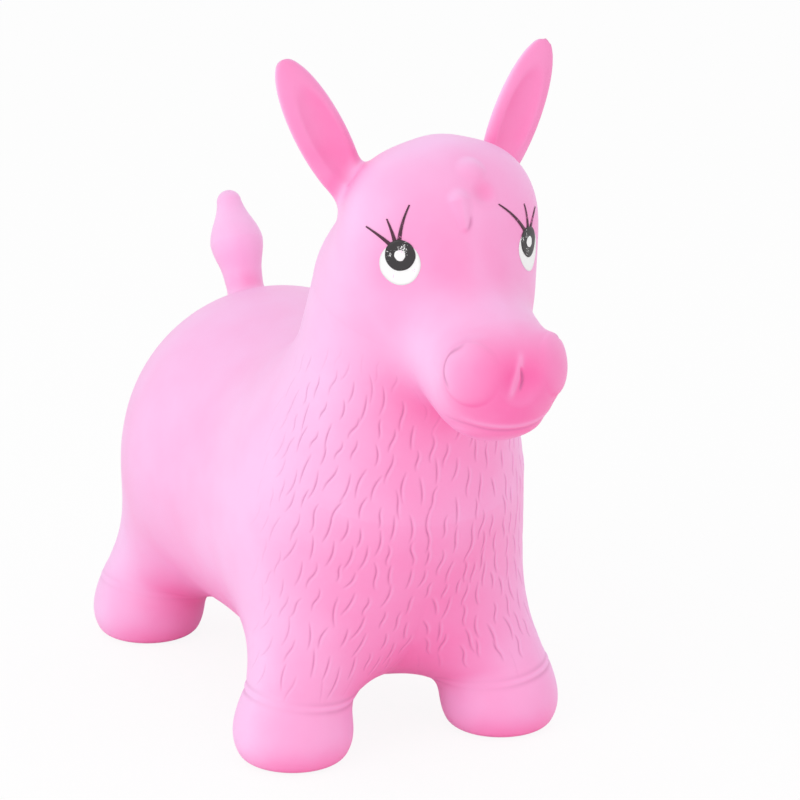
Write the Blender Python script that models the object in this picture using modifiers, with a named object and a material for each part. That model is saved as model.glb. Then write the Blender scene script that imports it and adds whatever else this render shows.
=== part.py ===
"""Ride-on hopper in the shape of a young horse: one hollow, air-filled skin of soft PVC.

The skin is one moulding. It is built here as the regions that it bends between, each a shell of
the same wall: trunk, neck, head, ears, tail, legs and hooves. The belly holds an air valve, and
the eyes are thin printed films. The horse faces -Y, +X is its left side, and the soles are at
Z = 0. Lengths are in metres.
"""

from math import cos, pi, radians, sin

import bmesh
import bpy
import numpy as np
from mathutils import Matrix, Vector

# Skin
WALL = 0.0022
CUT_GAP = 0.0003

# Barrel: a rump and a chest, joined by a slimmer waist that makes the seat
RUMP_Y = 0.148
RUMP_Z = 0.166
RUMP_HALF_WIDTH = 0.120
RUMP_HALF_LENGTH = 0.1112
RUMP_HALF_HEIGHT = 0.123
CHEST_Y = 0.004
CHEST_Z = 0.163
CHEST_HALF_WIDTH = 0.099
CHEST_HALF_LENGTH = 0.113
CHEST_HALF_HEIGHT = 0.126
WAIST_RADIUS = 0.1025
WAIST_DROP = 0.008
BARREL_BLEND = 0.070
WAIST_BLEND = 0.050

# Neck
NECK_BASE_Y = -0.062
NECK_BASE_Z = 0.218
NECK_BASE_RADIUS = 0.088
NECK_TOP_Y = -0.102
NECK_TOP_Z = 0.351
NECK_TOP_RADIUS = 0.075
NECK_BLEND = 0.060

# Head: skull, snout, nostril mounds and brows
SKULL_Y = -0.137
SKULL_Z = 0.3965
SKULL_HALF_WIDTH = 0.066
SKULL_HALF_LENGTH = 0.054
SKULL_HALF_HEIGHT = 0.0735
HEAD_BLEND = 0.030
SNOUT_Y = -0.138
SNOUT_Z = 0.352
SNOUT_RADIUS = 0.048
NOSE_Y = -0.221
NOSE_Z = 0.322
NOSE_RADIUS = 0.0458
SNOUT_BLEND = 0.035
NOSTRIL_X = 0.0175
NOSTRIL_AHEAD = 0.017
NOSTRIL_RISE = 0.0075
NOSTRIL_RADIUS = 0.0238
NOSTRIL_BLEND = 0.010
BROW_X = 0.033
BROW_Y = -0.136
BROW_Z = 0.412
BROW_RADIUS = 0.036
BROW_HALF_HEIGHT = 0.045
BROW_BLEND = 0.016

# Legs and hooves; a leg leans in and towards the middle as it rises
FRONT_FOOT_X = 0.084
FRONT_FOOT_Y = -0.072
REAR_FOOT_X = 0.086
REAR_FOOT_Y = 0.219
THIGH_IN_SHARE = 0.480
THIGH_ALONG_SHARE = 0.82
FRONT_THIGH_Z = 0.133
REAR_THIGH_Z = 0.130
THIGH_RADIUS = 0.050
ANKLE_RADIUS = 0.0370
ANKLE_RISE = 0.021
LEG_BLEND = 0.045
HOOF_Z = 0.020
HOOF_HALF_WIDTH = 0.0440
HOOF_HALF_LENGTH = 0.0440
HOOF_HALF_HEIGHT = 0.035
HOOF_BLEND = 0.014

# Ears: solid leaves with a hollow front
EAR_ROOT_X = 0.053
EAR_ROOT_Y = -0.108
EAR_ROOT_Z = 0.426
EAR_TIP_X = 0.097
EAR_TIP_Y = -0.096
EAR_TIP_Z = 0.514
EAR_HALF_WIDTH = 0.0185
EAR_HALF_THICKNESS = 0.0085
EAR_OVERLENGTH_SHARE = 0.60
EAR_HOLLOW_DEPTH = 0.0045
EAR_HOLLOW_SHIFT = 0.0020
EAR_HOLLOW_WIDTH_SHARE = 0.82
EAR_HOLLOW_LENGTH_SHARE = 0.86
EAR_HOLLOW_BLEND = 0.003
EAR_BLEND = 0.012

# Tail: a short spindle that stands up from the rump
TAIL_ROOT_Y = 0.212
TAIL_ROOT_Z = 0.260
TAIL_TIP_Y = 0.253
TAIL_TIP_Z = 0.338
TAIL_ROOT_RADIUS = 0.0130
TAIL_MIDDLE_RADIUS = 0.0178
TAIL_TIP_RADIUS = 0.0098
TAIL_MIDDLE_SHARE = 0.634
TAIL_BLEND = 0.012
TAIL_SWELL_BLEND = 0.010

# Where the skin bends: planes across it, each given by its normal and its place along that normal
HIP_NORMAL_SHARES = (0.60, 0.35, -0.72)
HIP_REACH = 0.085
HOOF_TOP = 0.050
HOOF_LEAN_SHARES = (0.25, 0.15, -0.95)
NECK_NORMAL_SHARES = (0, -0.45, 0.89)
NECK_BEND_Y = -0.048
NECK_BEND_Z = 0.250
NECK_BEND_LENGTH = 0.055
EAR_BEND_START = 0.024
EAR_BEND_LENGTH = 0.014
TAIL_BEND_START = 0.010
TAIL_BEND_LENGTH = 0.014

# Eye prints
EYE_X = 0.049
EYE_Z = 0.394
EYE_TURN_DEG = 36
EYE_TILT_DEG = 0
WHITE_RADIUS = 0.0145
IRIS_RADIUS = 0.0106
IRIS_RISE = 0.0060
HIGHLIGHT_RADIUS = 0.0038
PRINT_LIFT = 0.0005
PRINT_THICKNESS = 0.0003
PRINT_GAP = 0.0003
LASH_PLACE_SHARES = (0.38, 0.29, 0.21)
LASH_LENGTHS = (0.018, 0.0155, 0.026)
LASH_LEANS_DEG = (4, 12, 20)
LASH_WIDTH = 0.0022
LASH_TIP_WIDTH = 0.0005
LASH_STEPS = 4
RING_STEPS = 24
WHITE_RINGS = 2
IRIS_RINGS = 2

# Air valve in the belly
VALVE_Y = 0.082
BUSH_RADIUS = 0.0080
BUSH_BORE = 0.0045
BUSH_LENGTH = 0.012
FLANGE_RADIUS = 0.0120
FLANGE_THICKNESS = 0.0015
FLANGE_SINK = 0.0005
PLUG_HEAD_RADIUS = 0.0075
PLUG_HEAD_THICKNESS = 0.0020
PLUG_RIB_RADIUS = 0.0042
PLUG_SHANK_RADIUS = 0.0034
PLUG_RIBS = 3

# Fineness of the meshes
FORM_VOXEL = 0.006
OUTER_KEEP_SHARE = 0.09
INNER_KEEP_SHARE = 0.05
SETTLE_ROUNDS = 6
SLOPE_STEP = 0.0002
SMALLEST_SHARE = 1e-6
LEAST_STEEPNESS = 0.5
LEAST_FACING = 0.3
ROUND_STEPS = 24
ROUGH_STEPS = 10
CUTTER_REACH = 0.60
SMALL_CUTTER_REACH = 0.15
MERGE_DISTANCE = 0.00005
SMOOTH_DEG = 50

# Colours, linear
TRUNK_PINK = (0.98, 0.52, 0.83)
NECK_PINK = (0.98, 0.50, 0.81)
HEAD_PINK = (0.98, 0.50, 0.80)
EAR_PINK = (0.95, 0.42, 0.72)
TAIL_PINK = (0.98, 0.45, 0.76)
LEG_PINK = (0.96, 0.40, 0.70)
HOOF_PINK = (0.98, 0.43, 0.74)
VALVE_PINK = (0.90, 0.35, 0.62)
PLUG_WHITE = (0.85, 0.85, 0.85)
EYE_WHITE = (0.95, 0.96, 0.95)
EYE_BLACK = (0.03, 0.03, 0.03)
SHEEN_ROUGHNESS = 0.45

SIDES = {"right": -1, "left": 1}


def smooth_union(a, b, reach):
    """The union of two distance fields, with a fillet that starts where they differ by reach."""
    share = np.clip(0.5 + 0.5 * (b - a) / reach, 0, 1)
    return b + (a - b) * share - reach * share * (1 - share)


def lobe(points, centre, radii):
    """Distance to an ellipsoid, true near its surface."""
    offset = points - np.array(centre)
    radii = np.array(radii)
    size = np.linalg.norm(offset / radii, axis=1)
    slope = np.linalg.norm(offset / radii**2, axis=1)
    return size * (size - 1) / np.maximum(slope, SMALLEST_SHARE / radii.max())


def limb(points, start, end, start_radius, end_radius):
    """Distance to a round-ended limb whose radius changes evenly from start to end."""
    start = np.array(start)
    along = np.array(end) - start
    share = np.clip((points - start) @ along / (along @ along), 0, 1)[:, None]
    to_axis = np.linalg.norm(points - start - share * along, axis=1)
    return to_axis - start_radius - (end_radius - start_radius) * share[:, 0]


def feet():
    """(end name, centre of the sole, and the thigh above it) of each leg on the left side."""
    middle_y = (FRONT_FOOT_Y + REAR_FOOT_Y) / 2
    for end, x, y, z in (
        ("front", FRONT_FOOT_X, FRONT_FOOT_Y, FRONT_THIGH_Z),
        ("rear", REAR_FOOT_X, REAR_FOOT_Y, REAR_THIGH_Z),
    ):
        thigh_y = middle_y + (y - middle_y) * THIGH_ALONG_SHARE
        yield end, Vector((x, y, 0)), Vector((x * THIGH_IN_SHARE, thigh_y, z))


def ear_frame():
    """Root of the left ear, and the ear's own axes: across, towards its front, and to its tip."""
    root = Vector((EAR_ROOT_X, EAR_ROOT_Y, EAR_ROOT_Z))
    to_tip = Vector((EAR_TIP_X, EAR_TIP_Y, EAR_TIP_Z)) - root
    up = to_tip.normalized()
    across = up.cross(Vector((0, -1, 0))).normalized()
    return root, across, across.cross(up), up, to_tip.length


def ear(points):
    """Distance to the left ear: a leaf whose front is hollow inside its rim, which is wider on
    the outer side."""
    root, across, ahead, up, length = ear_frame()
    axes = np.array((across, ahead, up)).T
    local = (points - np.array(root)) @ axes
    middle = (0, 0, length / 2)
    half_length = EAR_OVERLENGTH_SHARE * length
    leaf = lobe(local, middle, (EAR_HALF_WIDTH, EAR_HALF_THICKNESS, half_length))
    before = (-EAR_HOLLOW_SHIFT, 2 * EAR_HALF_THICKNESS - EAR_HOLLOW_DEPTH, length / 2)
    hollow_width = EAR_HALF_WIDTH * EAR_HOLLOW_WIDTH_SHARE
    hollow_size = (hollow_width, EAR_HALF_THICKNESS, half_length * EAR_HOLLOW_LENGTH_SHARE)
    return -smooth_union(-leaf, lobe(local, before, hollow_size), EAR_HOLLOW_BLEND)


def tail(points):
    """Distance to the tail, a short spindle."""
    root = np.array((0, TAIL_ROOT_Y, TAIL_ROOT_Z))
    tip = np.array((0, TAIL_TIP_Y, TAIL_TIP_Z))
    middle = root + (tip - root) * TAIL_MIDDLE_SHARE
    lower = limb(points, root, middle, TAIL_ROOT_RADIUS, TAIL_MIDDLE_RADIUS)
    upper = limb(points, middle, tip, TAIL_MIDDLE_RADIUS, TAIL_TIP_RADIUS)
    return smooth_union(lower, upper, TAIL_SWELL_BLEND)


def body(points):
    """Distance to the outer face of the skin without its ears. It is alike on both sides."""
    p = np.column_stack((np.abs(points[:, 0]), points[:, 1:]))
    rump = (0, RUMP_Y, RUMP_Z)
    chest = (0, CHEST_Y, CHEST_Z)
    skin = lobe(p, rump, (RUMP_HALF_WIDTH, RUMP_HALF_LENGTH, RUMP_HALF_HEIGHT))
    front = lobe(p, chest, (CHEST_HALF_WIDTH, CHEST_HALF_LENGTH, CHEST_HALF_HEIGHT))
    skin = smooth_union(skin, front, BARREL_BLEND)
    waist_ends = ((0, RUMP_Y, RUMP_Z - WAIST_DROP), (0, CHEST_Y, CHEST_Z - WAIST_DROP))
    skin = smooth_union(skin, limb(p, *waist_ends, WAIST_RADIUS, WAIST_RADIUS), WAIST_BLEND)
    neck_ends = ((0, NECK_BASE_Y, NECK_BASE_Z), (0, NECK_TOP_Y, NECK_TOP_Z))
    skin = smooth_union(skin, limb(p, *neck_ends, NECK_BASE_RADIUS, NECK_TOP_RADIUS), NECK_BLEND)
    for _, sole, thigh in feet():
        ankle = sole + Vector((0, 0, HOOF_Z + ANKLE_RISE))
        skin = smooth_union(skin, limb(p, ankle, thigh, ANKLE_RADIUS, THIGH_RADIUS), LEG_BLEND)
        hoof = sole + Vector((0, 0, HOOF_Z))
        hoof = lobe(p, hoof, (HOOF_HALF_WIDTH, HOOF_HALF_LENGTH, HOOF_HALF_HEIGHT))
        skin = smooth_union(skin, hoof, HOOF_BLEND)
    skull = (0, SKULL_Y, SKULL_Z)
    head = lobe(p, skull, (SKULL_HALF_WIDTH, SKULL_HALF_LENGTH, SKULL_HALF_HEIGHT))
    snout = limb(p, (0, SNOUT_Y, SNOUT_Z), (0, NOSE_Y, NOSE_Z), SNOUT_RADIUS, NOSE_RADIUS)
    nostril = (NOSTRIL_X, NOSE_Y - NOSTRIL_AHEAD, NOSE_Z + NOSTRIL_RISE)
    snout = smooth_union(snout, lobe(p, nostril, (NOSTRIL_RADIUS,) * 3), NOSTRIL_BLEND)
    head = smooth_union(head, snout, SNOUT_BLEND)
    brow = lobe(p, (BROW_X, BROW_Y, BROW_Z), (BROW_RADIUS, BROW_RADIUS, BROW_HALF_HEIGHT))
    head = smooth_union(head, brow, BROW_BLEND)
    skin = smooth_union(skin, head, HEAD_BLEND)
    return smooth_union(skin, tail(p), TAIL_BLEND)


def horse(points):
    """Distance to the outer face of the skin, ears and all."""
    ears = ear(np.column_stack((np.abs(points[:, 0]), points[:, 1:])))
    return smooth_union(body(points), ears, EAR_BLEND)


def cavity(points):
    """Distance to the inner face of the skin. The ears are solid, so it runs on below them."""
    return body(points) + WALL


def slope_of(field, points):
    """How a distance field grows along each axis, by a small step to either side."""
    steps = np.eye(3) * SLOPE_STEP
    rises = [field(points + step) - field(points - step) for step in steps]
    return np.column_stack(rises) / (2 * SLOPE_STEP)


def settled(field, points):
    """These points, moved down the slope until they lie on the field's face."""
    for _ in range(SETTLE_ROUNDS):
        slope = slope_of(field, points)
        steepness = np.maximum((slope**2).sum(axis=1), LEAST_STEEPNESS)
        points = points - (field(points) / steepness)[:, None] * slope
    return points


def slid(points, direction, lift):
    """These points, moved along one direction only until they stand this far off the skin."""
    for _ in range(SETTLE_ROUNDS):
        facing = np.maximum(slope_of(body, points) @ direction, LEAST_FACING)
        points = points - np.outer((body(points) - lift) / facing, direction)
    return points


def collection(name, shown):
    """A collection; a hidden one holds what only shapes the parts."""
    made = bpy.data.collections.new(name)
    made.hide_render = not shown
    bpy.context.scene.collection.children.link(made)
    return made


def add_object(name, mesh, where):
    """An object in one of the two collections. A cutter is shown as wires and never rendered."""
    thing = bpy.data.objects.new(name, mesh)
    where.objects.link(thing)
    if where.hide_render:
        thing.hide_render = True
        thing.display_type = "WIRE"
    return thing


def add_modifier(thing, kind, **settings):
    """A modifier of one kind, with its settings."""
    modifier = thing.modifiers.new(kind.title(), kind)
    for name, value in settings.items():
        setattr(modifier, name, value)
    return modifier


def finished_mesh(thing):
    """The mesh that a helper's modifiers make of it. The helper is removed."""
    graph = bpy.context.evaluated_depsgraph_get()
    mesh = bpy.data.meshes.new_from_object(thing.evaluated_get(graph))
    bpy.data.objects.remove(thing)
    return mesh


def material(name, colour, roughness):
    """Principled material with a linear base colour."""
    made = bpy.data.materials.new(name)
    made.use_nodes = True
    surface = made.node_tree.nodes["Principled BSDF"]
    surface.inputs["Base Color"].default_value = (*colour, 1)
    surface.inputs["Roughness"].default_value = roughness
    surface.inputs["Metallic"].default_value = 0
    return made


def turned_to(direction):
    """Rotation that takes +Z to a direction."""
    return Vector(direction).to_track_quat("Z", "Y").to_matrix().to_4x4()


def fused(name, lobes, voxel):
    """One closed mesh around rough (centre, radii) lobes, of even squares."""
    rough = bmesh.new()
    for centre, radii in lobes:
        place = Matrix.Translation(centre) @ Matrix.Diagonal((*radii, 1))
        steps = {"u_segments": ROUND_STEPS, "v_segments": ROUND_STEPS // 2}
        bmesh.ops.create_uvsphere(rough, radius=1, matrix=place, **steps)
    mesh = bpy.data.meshes.new(name)
    rough.to_mesh(mesh)
    rough.free()
    form = add_object(name, mesh, helpers)
    add_modifier(form, "REMESH", mode="VOXEL", voxel_size=voxel)
    return finished_mesh(form)


def settle_mesh(mesh, field):
    """Smooths a mesh and settles it on a field's face, twice over, so that its faces stay even."""
    form = bmesh.new()
    form.from_mesh(mesh)
    every_way = {"use_axis_x": True, "use_axis_y": True, "use_axis_z": True}
    for _ in range(2):
        for _ in range(2):
            bmesh.ops.smooth_vert(form, verts=form.verts, factor=0.5, **every_way)
        places = settled(field, np.array([v.co for v in form.verts]))
        for vert, place in zip(form.verts, places):
            vert.co = place
    form.to_mesh(mesh)
    form.free()


def block(name, point, normal, reach):
    """A cutter: a cube whose near face stands at a point, with the normal pointing into it."""
    form = bmesh.new()
    middle = Vector(point) + Vector(normal).normalized() * reach / 2
    bmesh.ops.create_cube(form, size=reach, matrix=Matrix.Translation(middle) @ turned_to(normal))
    mesh = bpy.data.meshes.new(name)
    form.to_mesh(mesh)
    form.free()
    return add_object(name, mesh, helpers)


def two_blocks(name, point, normal, reach):
    """Cutters for the two pieces that meet at a plane, half a gap to either side of it."""
    half_gap = Vector(normal).normalized() * CUT_GAP / 2
    here = block(name + "_here", Vector(point) - half_gap, normal, reach)
    beyond = block(name + "_beyond", Vector(point) + half_gap, normal, reach)
    return here, beyond


def piece(name, mesh, colour, cuts=(), smooth_deg=SMOOTH_DEG):
    """A sub-part: a mesh in its own material, cut by each (operation, cutter) in turn."""
    mesh = mesh.copy()
    mesh.name = name
    mesh.materials.clear()
    mesh.materials.append(material(name, colour, SHEEN_ROUGHNESS))
    thing = add_object(name, mesh, parts)
    for operation, cutter in cuts:
        add_modifier(thing, "BOOLEAN", operation=operation, object=cutter, solver="EXACT")
    mesh.shade_smooth()
    mesh.set_sharp_from_angle(angle=radians(smooth_deg))
    return thing


def pivot(name, place, *things):
    """An empty on a joint's axis that carries the pieces which move with it."""
    made = bpy.data.objects.new(name, None)
    made.location = place
    parts.objects.link(made)
    for thing in things:
        thing.parent = made
        thing.matrix_parent_inverse = Matrix.Translation(-Vector(place))
    return made


def body_lobes():
    """Rough lobes of the whole horse but its ears."""
    yield (0, RUMP_Y, RUMP_Z), (RUMP_HALF_WIDTH, RUMP_HALF_LENGTH, RUMP_HALF_HEIGHT)
    yield (0, CHEST_Y, CHEST_Z), (CHEST_HALF_WIDTH, CHEST_HALF_LENGTH, CHEST_HALF_HEIGHT)
    yield (0, NECK_BASE_Y, NECK_BASE_Z), (NECK_BASE_RADIUS,) * 3
    yield (0, NECK_TOP_Y, NECK_TOP_Z), (NECK_TOP_RADIUS,) * 3
    yield (0, SKULL_Y, SKULL_Z), (SKULL_HALF_WIDTH, SKULL_HALF_LENGTH, SKULL_HALF_HEIGHT)
    for share in np.linspace(0, 1, ROUGH_STEPS):
        snout = Vector((0, SNOUT_Y, SNOUT_Z)).lerp((0, NOSE_Y, NOSE_Z), share)
        yield snout, (NOSE_RADIUS,) * 3
        dock = Vector((0, TAIL_ROOT_Y, TAIL_ROOT_Z)).lerp((0, TAIL_TIP_Y, TAIL_TIP_Z), share)
        yield dock, (TAIL_ROOT_RADIUS,) * 3
    for _, sole, thigh in feet():
        for side in SIDES.values():
            turn = Vector((side, 1, 1))
            hoof = sole + Vector((0, 0, HOOF_Z))
            yield hoof * turn, (HOOF_HALF_WIDTH, HOOF_HALF_LENGTH, HOOF_HALF_HEIGHT)
            yield hoof.lerp(thigh, 1 / 2) * turn, (ANKLE_RADIUS, ANKLE_RADIUS, thigh.z / 2)


def ear_lobes():
    """Rough lobes over the leaf of each ear, wider in its middle."""
    root, across, _, up, length = ear_frame()
    for share in np.linspace(0, 1, ROUGH_STEPS):
        spread = (EAR_HALF_WIDTH - EAR_HALF_THICKNESS) * (1 - (2 * share - 1) ** 2)
        for place in (-spread, 0, spread):
            middle = root + up * length * share + across * place
            for side in SIDES.values():
                yield middle * Vector((side, 1, 1)), (EAR_HALF_THICKNESS,) * 3


def ear_plane(side, along):
    """A point on one ear's axis, this far from its root, and the axis."""
    root, _, _, up, _ = ear_frame()
    place = root + up * along
    return Vector((side * place.x, place.y, place.z)), Vector((side * up.x, up.y, up.z))


def face_of(name, field, lobes, keep_share, floor):
    """One face of the skin as a closed mesh, cut off level at a height where it would sink lower."""
    mesh = fused(name, lobes, FORM_VOXEL)
    settle_mesh(mesh, field)
    form = add_object(name, mesh, helpers)
    add_modifier(form, "DECIMATE", ratio=keep_share)
    mirror = add_modifier(form, "MIRROR", merge_threshold=MERGE_DISTANCE)
    mirror.use_bisect_axis[0] = True
    ground = block("ground", (0, 0, floor), (0, 0, -1), CUTTER_REACH)
    add_modifier(form, "BOOLEAN", operation="DIFFERENCE", object=ground, solver="EXACT")
    mesh = finished_mesh(form)
    bpy.data.objects.remove(ground)
    return mesh


def make_forms():
    """The outer face of the horse as one closed mesh, and the same made into a hollow skin."""
    outer = face_of("outer_face", horse, [*body_lobes(), *ear_lobes()], OUTER_KEEP_SHARE, 0)
    inner = face_of("inner_face", cavity, body_lobes(), INNER_KEEP_SHARE, WALL)
    form = add_object("skin_form", outer, helpers)
    core = add_object("core", inner, helpers)
    add_modifier(form, "BOOLEAN", operation="DIFFERENCE", object=core, solver="EXACT")
    skin = finished_mesh(form)
    bpy.data.objects.remove(core)
    return outer, skin


def make_head(outer, skin):
    """Neck, head and ears. The ears are solid, and the rest is hollow skin."""
    made = {}
    axis = Vector(NECK_NORMAL_SHARES).normalized()
    base = Vector((0, NECK_BEND_Y, NECK_BEND_Z))
    trunk_end, neck_part = two_blocks("neck_base_cut", base, axis, CUTTER_REACH)
    top = base + axis * NECK_BEND_LENGTH
    neck_end, head_part = two_blocks("neck_top_cut", top, axis, CUTTER_REACH)
    neck_cuts = [("INTERSECT", neck_part), ("DIFFERENCE", neck_end)]
    made["neck"] = piece("neck_skin", skin, NECK_PINK, neck_cuts)
    head_cuts = [("INTERSECT", head_part)]
    for name, side in SIDES.items():
        ear_root = f"{name}_ear_root"
        place, up = ear_plane(side, EAR_BEND_START)
        here, beyond = two_blocks(f"{ear_root}_cut", place, up, SMALL_CUTTER_REACH)
        place, up = ear_plane(side, EAR_BEND_START + EAR_BEND_LENGTH)
        end, tip = two_blocks(f"{name}_ear_cut", place, up, SMALL_CUTTER_REACH)
        head_cuts.append(("DIFFERENCE", here))
        root_cuts = [("INTERSECT", beyond), ("DIFFERENCE", end)]
        made[ear_root] = piece(ear_root, outer, EAR_PINK, root_cuts)
        made[f"{name}_ear"] = piece(f"{name}_ear", outer, EAR_PINK, [("INTERSECT", tip)])
    made["head"] = piece("head_skin", skin, HEAD_PINK, head_cuts)
    return made, trunk_end


def make_tail(skin):
    """The tail and the ring that it bends in, with the trunk's cutter."""
    root = Vector((0, TAIL_ROOT_Y, TAIL_ROOT_Z))
    axis = (Vector((0, TAIL_TIP_Y, TAIL_TIP_Z)) - root).normalized()
    base = root + axis * TAIL_BEND_START
    here, beyond = two_blocks("tail_root_cut", base, axis, SMALL_CUTTER_REACH)
    end, tip = two_blocks("tail_cut", base + axis * TAIL_BEND_LENGTH, axis, SMALL_CUTTER_REACH)
    piece("tail_root", skin, TAIL_PINK, [("INTERSECT", beyond), ("DIFFERENCE", end)])
    thing = piece("tail", skin, TAIL_PINK, [("INTERSECT", tip)])
    pivot("tail_pivot", base + axis * TAIL_BEND_LENGTH / 2, thing)
    return here


def make_legs(skin):
    """Legs and hooves. Gives the cutters that part the legs from the trunk."""
    hips = []
    parting = (FRONT_FOOT_Y + REAR_FOOT_Y) / 2
    for end, left_sole, _ in feet():
        ahead = -1 if end == "front" else 1
        for name, side in SIDES.items():
            foot = f"{end}_{name}"
            turn = Vector((side, ahead, 1))
            sole = left_sole * Vector((side, 1, 1))
            near = block(f"{foot}_side", (0, 0, 0), (side, 0, 0), 2 * CUTTER_REACH)
            same_end = block(f"{foot}_end", (0, parting, 0), (0, ahead, 0), 2 * CUTTER_REACH)
            axis = (Vector(HIP_NORMAL_SHARES) * turn).normalized()
            hip = sole - axis * HIP_REACH
            here, beyond = two_blocks(f"{foot}_hip_cut", hip, axis, CUTTER_REACH)
            hips.append(here)
            axis = Vector(HOOF_LEAN_SHARES) * turn
            ankle = sole + Vector((0, 0, HOOF_TOP))
            leg_end, hoof_part = two_blocks(f"{foot}_hoof_cut", ankle, axis, CUTTER_REACH)
            own = [("INTERSECT", near), ("INTERSECT", same_end), ("INTERSECT", beyond)]
            piece(f"{foot}_leg", skin, LEG_PINK, [*own, ("DIFFERENCE", leg_end)])
            hoof = piece(f"{foot}_hoof", skin, HOOF_PINK, [*own, ("INTERSECT", hoof_part)])
            pivot(f"{foot}_slide", sole, hoof)
    return hips


def eye_frame(side):
    """Where one eye's middle lies on the skin, and the axes across it, up it and out of it."""
    turn = side * radians(EYE_TURN_DEG)
    tilt = radians(EYE_TILT_DEG)
    out = Vector((sin(turn) * cos(tilt), -cos(turn) * cos(tilt), sin(tilt)))
    across = Vector((0, 0, 1)).cross(out).normalized()
    start = np.array([[side * EYE_X, BROW_Y, EYE_Z]])
    middle = slid(start, np.array((0, -1, 0)), 0)[0]
    return Vector(middle), across, out.cross(across), out


def printed(name, side, outline, lift, colour):
    """A printed film: a flat bmesh in the eye's own plane, laid on the skin and given its thickness."""
    middle, across, up, out = eye_frame(side)
    flat = np.array([v.co for v in outline.verts])
    places = np.array(middle) + flat[:, :1] * np.array(across) + flat[:, 1:2] * np.array(up)
    places = slid(places, np.array(out), lift)
    for vert, place in zip(outline.verts, places):
        vert.co = place
    bmesh.ops.recalc_face_normals(outline, faces=outline.faces)
    if outline.faces[:][0].normal.dot(out) < 0:
        bmesh.ops.reverse_faces(outline, faces=outline.faces)
    mesh = bpy.data.meshes.new(name)
    outline.to_mesh(mesh)
    outline.free()
    film = piece(name, mesh, colour)
    add_modifier(film, "SOLIDIFY", thickness=PRINT_THICKNESS, offset=1)
    return film


def rings(radii, middle=(0, 0)):
    """A flat disc of even rings round a middle. With a first radius of zero it is filled."""
    form = bmesh.new()
    loops = []
    for radius in radii:
        if radius == 0:
            loops.append([form.verts.new((*middle, 0))])
            continue
        angles = [2 * pi * step / RING_STEPS for step in range(RING_STEPS)]
        x, y = middle
        loop = [(x + radius * cos(a), y + radius * sin(a), 0) for a in angles]
        loops.append([form.verts.new(place) for place in loop])
    for inner, outer in zip(loops, loops[1:]):
        for step in range(RING_STEPS):
            corners = [outer[step], outer[(step + 1) % RING_STEPS]]
            if len(inner) > 1:
                corners += [inner[(step + 1) % RING_STEPS], inner[step]]
            else:
                corners += inner
            form.faces.new(corners)
    return form, loops[-1]


def add_lashes(form, rim, side):
    """Draws each lash out from one edge of the iris's rim, narrowing to its tip and curving out."""
    for share_round, length, lean_deg in zip(LASH_PLACE_SHARES, LASH_LENGTHS, LASH_LEANS_DEG):
        step = round(share_round * RING_STEPS)
        step = step if side < 0 else RING_STEPS // 2 - 1 - step
        first, second = rim[step], rim[(step + 1) % RING_STEPS]
        edge = form.edges.get((first, second))
        middle = (first.co + second.co) / 2
        width = first.co - second.co
        heading = (middle - Vector((0, IRIS_RISE, 0))).normalized()
        for count in range(1, LASH_STEPS + 1):
            share = count / LASH_STEPS
            bend = Matrix.Rotation(side * radians(lean_deg) / LASH_STEPS, 3, "Z")
            heading = bend @ heading
            width = bend @ width
            middle = middle + heading * length / LASH_STEPS
            thick = (LASH_WIDTH + (LASH_TIP_WIDTH - LASH_WIDTH) * share) / 2
            half = width.normalized() * thick
            grown = bmesh.ops.extrude_edge_only(form, edges=[edge])["geom"]
            edges = [item for item in grown if isinstance(item, bmesh.types.BMEdge)]
            edge = next(item for item in edges if not {first, second} & set(item.verts))
            first, second = sorted(edge.verts, key=lambda v: v.co.dot(width), reverse=True)
            first.co = middle + half
            second.co = middle - half


def make_eyes():
    """A white disc, a black iris with its lashes, and a white highlight, for each eye."""
    made = []
    top_lift = PRINT_LIFT + PRINT_THICKNESS + PRINT_GAP
    for name, side in SIDES.items():
        white, _ = rings([WHITE_RADIUS * step / WHITE_RINGS for step in range(WHITE_RINGS + 1)])
        made.append(printed(f"{name}_eye_white", side, white, PRINT_LIFT, EYE_WHITE))
        hole = HIGHLIGHT_RADIUS + PRINT_GAP
        radii = [hole + (IRIS_RADIUS - hole) * step / IRIS_RINGS for step in range(IRIS_RINGS + 1)]
        iris, rim = rings(radii, (0, IRIS_RISE))
        add_lashes(iris, rim, side)
        made.append(printed(f"{name}_eye_iris_and_lashes", side, iris, top_lift, EYE_BLACK))
        highlight, _ = rings([0, HIGHLIGHT_RADIUS], (0, IRIS_RISE))
        made.append(printed(f"{name}_eye_highlight", side, highlight, top_lift, EYE_WHITE))
    return made


def turned(name, profile, where):
    """A shape turned round the valve's axis, from (radius, height) points down its outer side."""
    form = bmesh.new()
    verts = [form.verts.new((radius, 0, height)) for radius, height in profile]
    for first, second in zip(verts, verts[1:]):
        form.edges.new((first, second))
    if profile[0][0] > 0:
        form.edges.new((verts[-1], verts[0]))
    mesh = bpy.data.meshes.new(name)
    form.to_mesh(mesh)
    form.free()
    thing = add_object(name, mesh, where)
    thing.location = (0, VALVE_Y, belly_z())
    steps = {"steps": ROUND_STEPS, "render_steps": ROUND_STEPS}
    merge = {"use_merge_vertices": True, "merge_threshold": MERGE_DISTANCE}
    add_modifier(thing, "SCREW", **steps, **merge)
    return thing


def belly_z():
    """Height of the skin's underside at the valve."""
    start = np.array([[0, VALVE_Y, RUMP_Z - RUMP_HALF_HEIGHT]])
    return slid(start, np.array((0, 0, -1)), 0)[0][2]


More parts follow.
